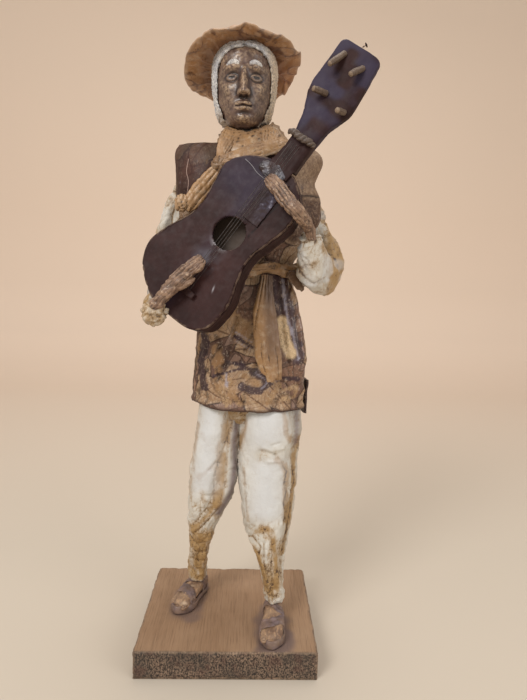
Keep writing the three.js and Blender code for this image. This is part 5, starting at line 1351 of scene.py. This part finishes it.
bouts = [(-50, 1, 9), (-47.4, 0.6, 16.4), (-43, -0.8, 22), (-37, -3.2, 25.6), (-27, -4.8, 27.2), (-15, -5, 23.4),
         (-4, -3.4, 19.8), (7, -1.5, 20.6), (18, -1, 23), (27, -1.6, 22.9), (34, -1.2, 18.6), (38.6, -0.6, 12.4),
         (41.1, 0, 6)]
knots = np.array([(m + h, a) for a, m, h in bouts] + [(m - h, a) for a, m, h in bouts[::-1]])
body_edge = np.vstack([
    curve(start, end, (end - before) / 2, (after - start) / 2, np.linspace(0, 1, 10, endpoint=False)[:, None])
    for before, start, end, after in zip(np.roll(knots, 1, 0), knots, np.roll(knots, -1, 0), np.roll(knots, -2, 0))])
edge_out = np.roll(body_edge, -1, 0) - np.roll(body_edge, 1, 0)
edge_out = np.stack([edge_out[:, 1], -edge_out[:, 0]], -1) / np.linalg.norm(edge_out, axis=1, keepdims=True)
edge_turn = np.arctan2(body_edge[:, 1], body_edge[:, 0])
hole_out = np.stack([np.cos(edge_turn), np.sin(edge_turn)], -1)
hole_edge = HOLE_RADIUS * hole_out


def body_depth(along):
    return 15 + (along + 51) / (41.5 + 51) * (11.5 - 15)


def chips(flat, seed):
    """Small bites out of an edge."""
    return 0.55 * patchy(np.concatenate([flat, flat[..., :1] * 0], -1), 2.2, seed, 0.35, 0.9)


rows, wear = [], []


def add_row(flat, height, worn):
    """One more ring of a plate of the guitar, with its wear."""
    rows.append(np.column_stack([flat, np.broadcast_to(height, len(flat))]))
    wear.append(np.broadcast_to(worn, len(flat)))


for share in (0.02, 0.06, 0.12, *np.linspace(0.18, 0.94, 34)):
    flat = hole_edge * (1 - share) + body_edge * share
    away = np.minimum(np.linalg.norm(flat - body_edge, axis=1), np.linalg.norm(flat - hole_edge, axis=1) * 1.6)
    add_row(flat, 0, unit(1 - away / 3.2))
for outward, height in ((-1.0, 0.0), (-0.5, -0.04), (-0.18, -0.14), (0.0, -0.42), (0.02, -0.9), (-0.1, -1.5)):
    flat = body_edge + edge_out * (outward - chips(body_edge, 501) * (outward > -0.9))[:, None]
    add_row(flat, height, 1.0 if outward > -0.6 else 0.8)
for share in (0.8, 0.5, 0.2, 0.02):
    add_row(hole_edge * (1 - share) + body_edge * share, -1.5, 0)
for inward, height in ((0.0, -1.4), (0.0, -0.7), (-0.05, -0.3), (-0.2, -0.06)):
    flat = hole_edge + hole_out * (-inward + chips(hole_edge * 1.7, 502) * (height > -1))[:, None]
    add_row(flat, height, 0.9)
top = np.array(rows)
dents = 0.14 * noise(top, 9.0, 503) + 0.05 * noise(top, 2.0, 504)
top[..., 2] += dents * (top[..., 2] > -0.02)
across, along = top[..., 0], top[..., 1]
face = ease(top[..., 2], -0.9, -0.2)
gap_line = bump(across - 9.0 - (along - 3.3) * 0.096, 0.4) * ease(along, 2.5, 5) * ease(along, 29, 26)
worn_hole = bump(np.hypot(across, along) - HOLE_RADIUS, 0.9)
worn_hole = worn_hole * bump(turn_from(np.arctan2(along, across), -1.75), 0.55) * patchy(top, 1.6, 505, -0.2, 0.5)
fleck = bump(across - 11.5 + 0.35 * (along + 26.3), 0.35) * bump(along + 26.3, 1.2)
glue = bump(np.hypot(across + 1.5, (along + 16.6) * 0.8), 5.4) * patchy(top, 2.4, 506, -0.6, 0.4)
# The blue mark is a painted bluish sheen.
top_marks = {"edge": np.array(wear), "ruddy": bump(np.hypot(across - 4, along + 22), 17),
             "blue": unit(bump(np.hypot(across + 14, along - 26), 13) + 0.6 * bump(across + 4, 4.0)),
             "glue": 0.5 * glue * face, "line": 0.9 * gap_line * face,
             "pale": unit(0.7 * worn_hole + 0.8 * fleck) * face}
blob = ball((-1.6, 36.4, 0.7), (7.4, 4.0, 1.3), 40, 70)
blob = push(blob, 0.5 * noise(blob, 2.6, 507) + 0.2 * noise(blob, 0.9, 508))
blob_marks = {"glue": 0.6 * patchy(blob, 3.4, 510, -0.5, 0.3), "shiny": 1.0,
              "line": bump(noise(blob * (1, 1, 0.3), 3.2, 509), 0.12)}
thread = wire([(-17, 33.6, 0.3), (-12.4, 33, 0.35), (-7.5, 31.6, 0.4), (-2.4, 31.2, 0.5)], (0, 0, 1), 0.13, 50, 8)
build("guitar_top_plate", stained, "lacquer", "guitar_top",
      shell(on_guitar(top)[:, ::-1], {name: values[:, ::-1] for name, values in top_marks.items()}, True),
      shell(on_guitar(blob), blob_marks), shell(on_guitar(thread), {"pale": 0.6}))

rows, wear = [], []
lower = -(body_depth(body_edge[:, 1]) - 1.8)
for outward, drop in ([(0.0, s) for s in np.linspace(0, 1, 14)] + [(-0.15, 1.0), (-1.75, 1.0)]
                      + [(-1.9, s) for s in np.linspace(1, 0, 8)] + [(-1.75, 0.0), (-0.15, 0.0)]):
    height = -1.8 * (1 - drop) + lower * drop
    flat = body_edge + edge_out * outward
    if outward == 0:
        flat = flat + edge_out * (0.12 * noise(np.column_stack([flat, height]), 5.0, 511))[:, None]
    add_row(flat, height, np.clip(1 - np.minimum(drop, 1 - drop) * 7.5, 0, 0.8) if outward > -1 else 0)
build("guitar_bent_rim", stained, "lacquer", "guitar_sides",
      shell(on_guitar(np.array(rows))[:, ::-1], {"edge": np.array(wear)[:, ::-1]}, True))

rows, wear = [], []
middle = np.array([-2.0, -4.0])
for share in np.linspace(0.02, 0.97, 14):
    flat = middle + (body_edge - middle) * share
    add_row(flat, -(body_depth(flat[:, 1]) - 1.5), 0)
for outward, drop in ((0.0, 0.05), (0.02, 0.6), (-0.1, 1.2), (-0.4, 1.46), (-1.0, 1.5)):
    flat = body_edge + edge_out * (outward - 0.7 * chips(body_edge, 521))[:, None]
    add_row(flat, -(body_depth(flat[:, 1]) - 1.5 + drop), 0.9)
for share in np.linspace(0.93, 0.02, 22):
    flat = middle + (body_edge - middle) * share
    dished = 0.15 * noise(np.column_stack([flat, flat[:, 0] * 0]), 10.0, 522)
    add_row(flat, -(body_depth(flat[:, 1]) + dished), unit(1 - np.linalg.norm(flat - body_edge, axis=1) / 3))
bare = np.where(np.arange(len(rows)) < 14, 0.85, 0)[:, None]
build("guitar_back_plate", stained, "lacquer", "guitar_back",
      shell(on_guitar(np.array(rows)), {"edge": np.array(wear), "bare": bare}))


# ------------------------------------------------------------------ guitar neck, fretboard and bridge
# Neck and headstock are whittled from one piece of wood, thinner at the headstock. A strip
# of worn card is what is left of the fretboard, and a small block on the top is the bridge.

neck_sizes = stations([[36, 1, 6.2], [43, 0.8, 6.8], [50, 0.9, 6.4], [56.5, 0.8, 6.3], [61, 0.6, 6.9], [67, 0, 8],
                       [73, -0.4, 10.4], [78.5, -0.9, 12.6], [84, -1.5, 13], [96, -2.5, 12.3], [107.5, -3.4, 11.7]])
neck_depth = stations([[36, 6.5], [56.5, 5.6], [70, 4.6], [108, 4.2]])
along = 36 + 71.5 * np.concatenate([np.linspace(0, 0.955, 130), np.linspace(0.957, 1, 20)])[:, None]
lap = laps(84)
middle, half = neck_sizes(along)
corner = 2.4
over = np.clip(along - (107.5 - corner), 0, corner)
half = half - (corner - np.sqrt(np.clip(corner ** 2 - over ** 2, 0, None)))
low_side = -neck_depth(along)[0]
low_side = np.where(along < 42, np.maximum(low_side, 0.3), low_side)
low_side = low_side + (0.3 - low_side) * ease(along, 42.4, 41.6)
high_side = 1.2
across, down_out = outline(lap - 0.16 * np.sin(4 * lap), 5.0)
x = middle + across * half
neck = np.stack([x, along * np.ones_like(x), (low_side + high_side) / 2 - down_out * (high_side - low_side) / 2], -1)
whittled = 0.16 * np.round(2 * noise(neck * (1, 0.4, 1), 6.0, 531)) / 2 + 0.14 * noise(neck, 3.0, 532)
neck = push(neck, whittled - 0.5 * patchy(neck, 2.4, 533, 0.5, 0.9))
from_corner = np.minimum(np.abs(np.abs(across) - 1) * half, 9) + np.minimum(np.abs(np.abs(down_out) - 1) * 3, 9)
# The blue mark on the headstock is painted bluish glints.
build("guitar_neck_and_headstock", stained, "lacquer", "guitar_neck", shell(on_guitar(neck), {
    "edge": unit(1.15 - from_corner / 1.4), "blue": 1.5 * ease(along, 52, 66) * patchy(neck, 6.0, 534, -0.5, 0.4)}))


def carved_block(low, high, radius, seed, rough):
    """A small hand-cut block on the guitar, marked where its edges and its middle are worn."""
    points, faces = rounded_block(low, high, radius, 0.4)
    low, high = np.array(low), np.array(high)
    inside = (high - low) / 2 - np.abs(points - (low + high) / 2)
    worn = unit(1 - np.sort(inside, axis=1)[:, 1] / 0.9)
    points = points + rough * np.stack([noise(points, 2.0, seed + k) for k in range(3)], -1)
    rubbed = bump((points[:, 0] - 7.6) / 3.2, 1) * bump((points[:, 1] - 22.5) / 7, 1)
    return on_guitar(points), faces, {"edge": worn, "rubbed": rubbed}


paint = bluish = stain("rubbed blue-grey card", "2C1D1E", "3C2D2F", "7C7076", 0.1)
blotch, rubbed = paint.grain(480.0, 4.0, offset=12.0), paint.mark("rubbed")
paint.over(rubbed, "454050", paint.span(blotch, 0.38, 0.58))
paint.over(rubbed, "8A8898", paint.span(blotch, 0.58, 0.68))
paint.finish()
build("fretboard_strip", bluish, "fingerboard", "fretboard",
      carved_block((0.6, 10.4, 0.2), (9.9, 35.6, 0.95), 0.3, 541, 0.14))
build("bridge_block", stained, "lacquer", "bridge",
      carved_block((-5.4, -37, 0.3), (6.6, -33.8, 2.2), 0.45, 545, 0.15))


# ------------------------------------------------------------------ nut, pegs, nail and strings
# Cord is wound round the neck where the strings bear on it. Four whittled dowels are the
# tuning pegs, a small wire nail stands in the end of the headstock, and the strings are thin.

cordage = paint_paper("dirty wound cord", "57483F", "41342F", "5C4A3D", "1E1513", 0.3)
cord, along, angle = limb(
    [(-6.8, 56.1, 2.1), (-4, 56.7, 3.6), (0.6, 56.3, 3.7), (5, 56.8, 3.6), (8.6, 56.9, 2.1)], (0, 0, 1),
    [[0, 1.1, 0.9], [0.2, 1.5, 1.1], [0.8, 1.6, 1.1], [1, 1, 0.9]], 120, 36)
strand = np.abs(np.sin(along * 19 + angle + 1.2 * noise(cord, 3.0, 552)))
cord = push(cord, 0.55 * strand ** 0.6 - 0.35 + 0.08 * noise(cord, 0.7, 551))
build("wound_cord_nut", cordage, "cordage", "string_nut",
      shell(on_guitar(cord), {"wax": bump(strand, 0.25), "gold": 0.4}))

paint = whittled_wood = Finish("whittled dowel")
grain = paint.use(wood_grain, Fineness=1500.0)
paint.colour = paint.blend(grain["Tone"], "47362C", "74604E")
rub_edges(paint, "9C8670", 0.5, 0.55)
paint.finish((grain["Height"], 0.2, 0.8), Roughness=paint.span(grain["Tone"], 0.0, 1.0, 0.7, 0.5))
for number, (foot, tip, reach) in enumerate((((-8.9, 101.1), (-9.3, 90.4), 7), ((3.1, 99.7), (2.1, 91.7), 7),
                                             ((-3.7, 80.8), (-8.3, 77.2), 7), ((9.2, 77.9), (8.4, 74.6), 8)), 1):
    start, end = np.array([*foot, 1.3]), np.array([*tip, reach])
    peg, along, angle = limb([start, (start + end) / 2 + (0.15, 0, 0.1), end], (1, 0, 0.2),
                             [[0, 1.4, 1.4], [0.9, 1.3, 1.3], [0.97, 1.15, 1.15], [1, 0.8, 0.8]], 40, 28)
    facet = 0.12 * np.abs(np.sin(angle * 3 + number)) + 0.1 * noise(peg, 1.2, 560 + number)
    build("peg_%d" % number, whittled_wood, "peg", "tuning_peg_%d" % number,
          shell(on_guitar(push(peg, facet - 0.08)), {"edge": 0.9 * ease(along, 0.86, 0.98)}))

paint = rusty = Finish("rusty wire")
rust = paint.grain(900.0, 4.0)
paint.colour = paint.blend(paint.span(rust, 0.4, 0.6), "2C2320", "5B4033")
paint.finish(Metallic=paint.span(rust, 0.4, 0.62, 0.7, 0.1), Roughness=0.5)
pin, _, _ = limb([(-5.6, 108.2, -2), (-4.9, 110, -2), (-4.15, 111.6, -2)], (0, 0, 1),
                 [[0, 0.5, 0.5], [0.82, 0.5, 0.5], [0.86, 1.05, 1.05], [0.96, 1.05, 1.05], [1, 0.7, 0.7]], 40, 20)
build("wire_nail", rusty, "iron", "nail", shell(on_guitar(pin)))

paint = gut = Finish("dull string")
paint.colour = paint.blend(paint.span(paint.grain(700.0, 3.0), 0.4, 0.6), "231B19", "4C423E")
paint.finish(Roughness=0.5)
for number in range(4):
    start = np.array((-1.2 + 1.4 * number, -33.4, 2.3))
    end = np.array((-2.4 + 1.7 * number, 52.9, 2.8))
    string = wire([start, (start + end) / 2, end], (0, 0, 1), 0.13, 90, 10)
    build("string_%d_of_gut" % (number + 1), gut, "gut", "string_%d" % (number + 1), shell(on_guitar(string)))


# ------------------------------------------------------------------ hands
# The hands are flat mitts of pulp, cut with lengthwise grooves for the fingers, painted
# khaki brown and glued to the guitar. Dirt and dark glaze lie between the fingers.

paint = khaki = Finish("khaki hand paint")
cloud, scuff = paint.grain(230.0, 4.0), paint.grain(620.0, 3.0, offset=5.0)
paint.colour = paint.blend(paint.span(cloud, 0.35, 0.65), "6C5141", "957862")
paint.over(paint.span(scuff, 0.52, 0.7, 0.0, 0.75), "C2A78E")
paint.over(paint.span(paint.mark("groove"), 0.1, 0.9, 0.0, 0.9), "35241C")
paint.finish((scuff, 0.25, 0.7), Roughness=paint.span(cloud, 0.3, 0.7, 0.45, 0.7), Coat_Weight=0.08)


def hand_part(path, section, rows, sides, seed):
    """A limb of worked pulp, and where its surface is low."""
    part, along, angle = limb(path, OUTWARD, section, rows, sides)
    worked = 0.22 * noise(part, 2.6, seed) + 0.1 * noise(part, 0.9, seed + 1)
    return push(part, worked), along, angle, ease(worked, -0.05, -0.25)


def fingered(path, section, start, gap, lengths, seed):
    """A mitt with four fingers lying side by side. The fingers begin at a share of the path."""
    part, along, angle, low = hand_part(path, section, 110, 64, seed)
    cut = ease(along, start, start + 0.12) * bump(np.abs(np.cos(np.sin(angle) * np.pi * 2)), 0.35)
    fine = np.abs(np.sin(np.sin(angle) * 7 + 1.3 * noise(part * 0.6, 3.0, seed + 4) + along * 2))
    facets, crease = paper(part, 3.6, seed + 5)
    part = push(part, 0.28 * fine ** 0.6 + 0.35 * facets - 0.6 * cut)
    skins = [shell(part, {"groove": unit(0.8 * cut + 0.4 * low + 0.7 * bump(fine, 0.2) + 0.5 * crease)})]
    line, ahead = route(path, 200)
    for k, length in enumerate(lengths):
        share = np.linspace(start + 0.2, length, 6)
        at = np.clip((share * 199).astype(int), 0, 199)
        side = np.cross(OUTWARD, ahead[at])
        side /= np.linalg.norm(side, axis=1, keepdims=True)
        points = line[at] + side * (k - 1.5) * gap + OUTWARD * (0.3 - 0.5 * (share[:, None] > 0.97))
        finger, _, _, low = hand_part(
            points, [[0, 0.6, 0.7], [0.25, 0.95, 1.3], [0.85, 0.95, 1.2], [0.96, 0.75, 0.9], [1, 0.3, 0.4]],
            50, 24, seed + 10 + k)
        skins.append(shell(finger, {"groove": 0.5 * low}))
    return skins


right_path = on_guitar([(-5, -54, 5), (-4.6, -46, 6), (-3, -32, 6.4), (-0.4, -17.4, 5.4)])
right = fingered(right_path, [[0, 2.9, 2.4], [0.2, 3.1, 2.3], [0.5, 3.8, 2.3], [0.85, 3.7, 1.9], [0.96, 3.0, 1.4],
                              [1, 1.8, 0.8]], 0.5, 1.75, (0.96, 1.0, 0.99, 0.95), 601)
thumb, _, _, low = hand_part(on_guitar([(-1.2, -38, 6.2), (0.9, -33, 6.0), (2.2, -27.5, 4.6)]),
                             [[0, 1.0, 1.0], [0.3, 1.5, 1.4], [0.85, 1.4, 1.2], [1, 0.5, 0.5]], 50, 26, 631)
build("hand_right_of_pulp", khaki, "hands", "hand_right", *right, shell(thumb, {"groove": 0.5 * low}))

left_path = np.vstack([[(38.6, -37.6, 235.2), (36.4, -41.4, 240.6)],
                       on_guitar([(23.6, 26.6, 7), (14, 28.8, 6.8), (6.5, 31, 6.2), (0.5, 31.6, 5.6)])])
left = fingered(left_path, [[0, 2.2, 2.2], [0.25, 2.8, 2.3], [0.55, 3.4, 2.2], [0.8, 3.6, 1.9], [0.95, 3.0, 1.4],
                            [1, 2.0, 0.9]], 0.55, 1.4, (0.99, 1.0, 0.97, 0.93), 651)
build("hand_left_of_pulp", khaki, "hands", "hand_left", *left)


# ------------------------------------------------------------------ sleeves
# Full sleeves of the same off-white pasted paper come out from under the tunic. The right
# one passes behind the guitar to a rolled cuff, and the left one sags at the bent elbow.

def sleeve_relief(along, angle, centre):
    x, y, z = np.moveaxis(centre, -1, 0)
    return 0.5 * crumple(x + angle * 6, y, z + along * 12, 6.0) + 0.12 * np.cos(angle * 5 + along * 9)


def right_sleeve_relief(along, angle, centre):
    return 0.7 * sleeve_relief(along, angle, centre)


def crease_sleeve(grid, golden, seed):
    """Crumples a sleeve, less at the left elbow's bend, and marks its creases and its glaze."""
    facets, crease = paper(grid * (1, 1, 0.8), 10.0, seed)
    small, small_crease = paper(grid, 4.6, seed + 40)
    bend = bump(grid[..., 0] - 45, 6) * bump(grid[..., 2] - 223, 6)
    grid = push(grid, (1 - 0.8 * bend) * (1.4 * facets + 0.4 * small))
    # On the sleeves the cool mark is a painted cool highlight: pale bluish patches, and a pale lobe below the left
    # elbow.
    highlight_lobe = 0.5 * bump(grid[..., 0] - 39, 5) * bump(grid[..., 2] - 214, 5)
    return shell(grid, {"wax": (1 - 0.85 * bend) * unit(0.9 * crease + 0.35 * small_crease), "gold": unit(golden),
                        "cool": 0.5 * patchy(grid, 7.0, seed + 9, 0.0, 0.5) + highlight_lobe})


grid, _, _ = limb([(-27, 1, 268), (-33.2, 1, 256), (-36.6, 1, 242), (-39, 0, 226), (-41.6, -6, 209),
                   (-42.4, -18, 199.6), (-40.6, -30, 197.2), (-38.6, -38, 196.4)], (1, 0.2, 0),
                  [[0, 5, 5], [0.2, 6.6, 6.4], [0.5, 7.6, 7], [0.75, 6.4, 6], [0.9, 5.2, 5], [1, 4.8, 4.8]],
                  190, 90, right_sleeve_relief)
golden = 0.15 + 0.6 * ease(grid[..., 0], -38, -46) + 0.5 * patchy(grid, 8.0, 701, 0.1, 0.6)
cuff_grid = ball((-38.3, -41.5, 196.2), (6, 4.8, 6), 50, 64)
rolled = np.abs(np.sin((cuff_grid[..., 0] + cuff_grid[..., 2]) * 0.55 + 2.2 * noise(cuff_grid, 4.0, 721)))
facets, crease = paper(cuff_grid, 4.2, 722)
cuff_grid = push(cuff_grid, 0.5 * rolled ** 0.6 - 0.3 + 1.1 * facets)
build("sleeve_right_of_paper", cream_paint, "cream", "sleeve_right", crease_sleeve(grid, golden, 711),
      shell(cuff_grid, {"wax": unit(0.8 * bump(rolled, 0.2) + 0.7 * crease), "gold": 0.6}))

grid, _, _ = limb([(38, 2, 268), (42.6, 2, 254), (45.6, 0, 240), (51.2, -4, 224.6), (47.8, -12, 218.2),
                   (42.6, -22, 221), (39.4, -31, 228.6), (38.2, -36.5, 236.4)], (-0.8, 0.5, 0.1),
                  [[0, 5, 5], [0.25, 5.8, 6.6], [0.42, 7.6, 8.6], [0.58, 9.8, 9.8], [0.78, 9.4, 8.6], [1, 5.8, 5.2]],
                  200, 110, sleeve_relief)
golden = 0.2 + 0.9 * ease(grid[..., 0], 47, 53) + 0.5 * patchy(grid, 8.0, 731, 0.1, 0.6)
build("sleeve_left_of_paper", cream_paint, "cream", "sleeve_left", crease_sleeve(grid, golden, 741))


# ------------------------------------------------------------------ floor, light and camera
# A plain pale floor that curves up behind the figure, and plain soft light from broad lamps.

bend = [(-1.6, 0.0), (0.75, 0.0), (0.9, 0.02), (1.02, 0.09), (1.09, 0.21), (1.11, 0.4), (1.11, 2.4)]
spans = np.linspace(-3, 3, 9)
points = np.array([(x, y, z) for y, z in bend for x in spans]) * 1000
index = np.arange(len(points)).reshape(len(bend), len(spans))
quads = np.stack([index[:-1, :-1], index[:-1, 1:], index[1:, 1:], index[1:, :-1]], -1).reshape(-1, 4)
floor = write_mesh("studio_floor", points, [quads], {})
paint = Finish("plain pale paint")
away = paint.add("SeparateXYZ", {0: paint.place}, "Y")
paint.colour = paint.blend(paint.span(away, 0.1, 1.0), "C9BEAF", "F0DBC8")
paint.over(paint.grain(6.0, 2.0), "DCD0C1", 0.12)
paint.finish(Roughness=0.9)
floor.data.materials.append(paint.material)

world = bpy.data.worlds.new("soft_room")
world.use_nodes = True
backdrop = world.node_tree.nodes["Background"].inputs
backdrop["Color"].default_value, backdrop["Strength"].default_value = tint("E3DDD5"), 0.68
scene = bpy.context.scene
scene.world = world
scene.view_settings.view_transform = "Standard"


def lamp(name, place, target, size, power, colour):
    light = bpy.data.lights.new(name, "AREA")
    light.shape, light.size, light.energy, light.color = "DISK", size, power, colour
    holder = bpy.data.objects.new(name, light)
    scene.collection.objects.link(holder)
    holder.location = place
    holder.rotation_euler = (Vector(target) - Vector(place)).to_track_quat("-Z", "Y").to_euler()


lamp("key_light", (-0.55, -0.75, 0.85), (0, 0, 0.17), 0.5, 7.4, (1.0, 0.98, 0.955))
lamp("fill_light", (0.8, -0.6, 0.5), (0, 0, 0.17), 0.7, 2.8, (1.0, 0.985, 0.965))
lamp("top_light", (0.1, 0.15, 1.1), (0, 0, 0.15), 0.7, 3.2, (1.0, 0.99, 0.975))

yaw, pitch, bank = np.radians(1.54), np.radians(-6.67), np.radians(1.5)
forward = Vector((np.sin(yaw) * np.cos(pitch), np.cos(yaw) * np.cos(pitch), np.sin(pitch)))
level_right = forward.cross(Vector((0, 0, 1))).normalized()
level_up = level_right.cross(forward)
right_axis = level_right * np.cos(bank) + level_up * np.sin(bank)
up_axis = -level_right * np.sin(bank) + level_up * np.cos(bank)
lens = bpy.data.cameras.new("camera")
lens.sensor_width, lens.lens, lens.clip_start = 36, 27.0514, 0.01
camera = bpy.data.objects.new("camera", lens)
scene.collection.objects.link(camera)
pose = Matrix((right_axis, up_axis, -forward)).transposed().to_4x4()
pose.translation = Vector((0.009, -0.304, 0.210))
camera.matrix_world = pose
scene.camera = camera
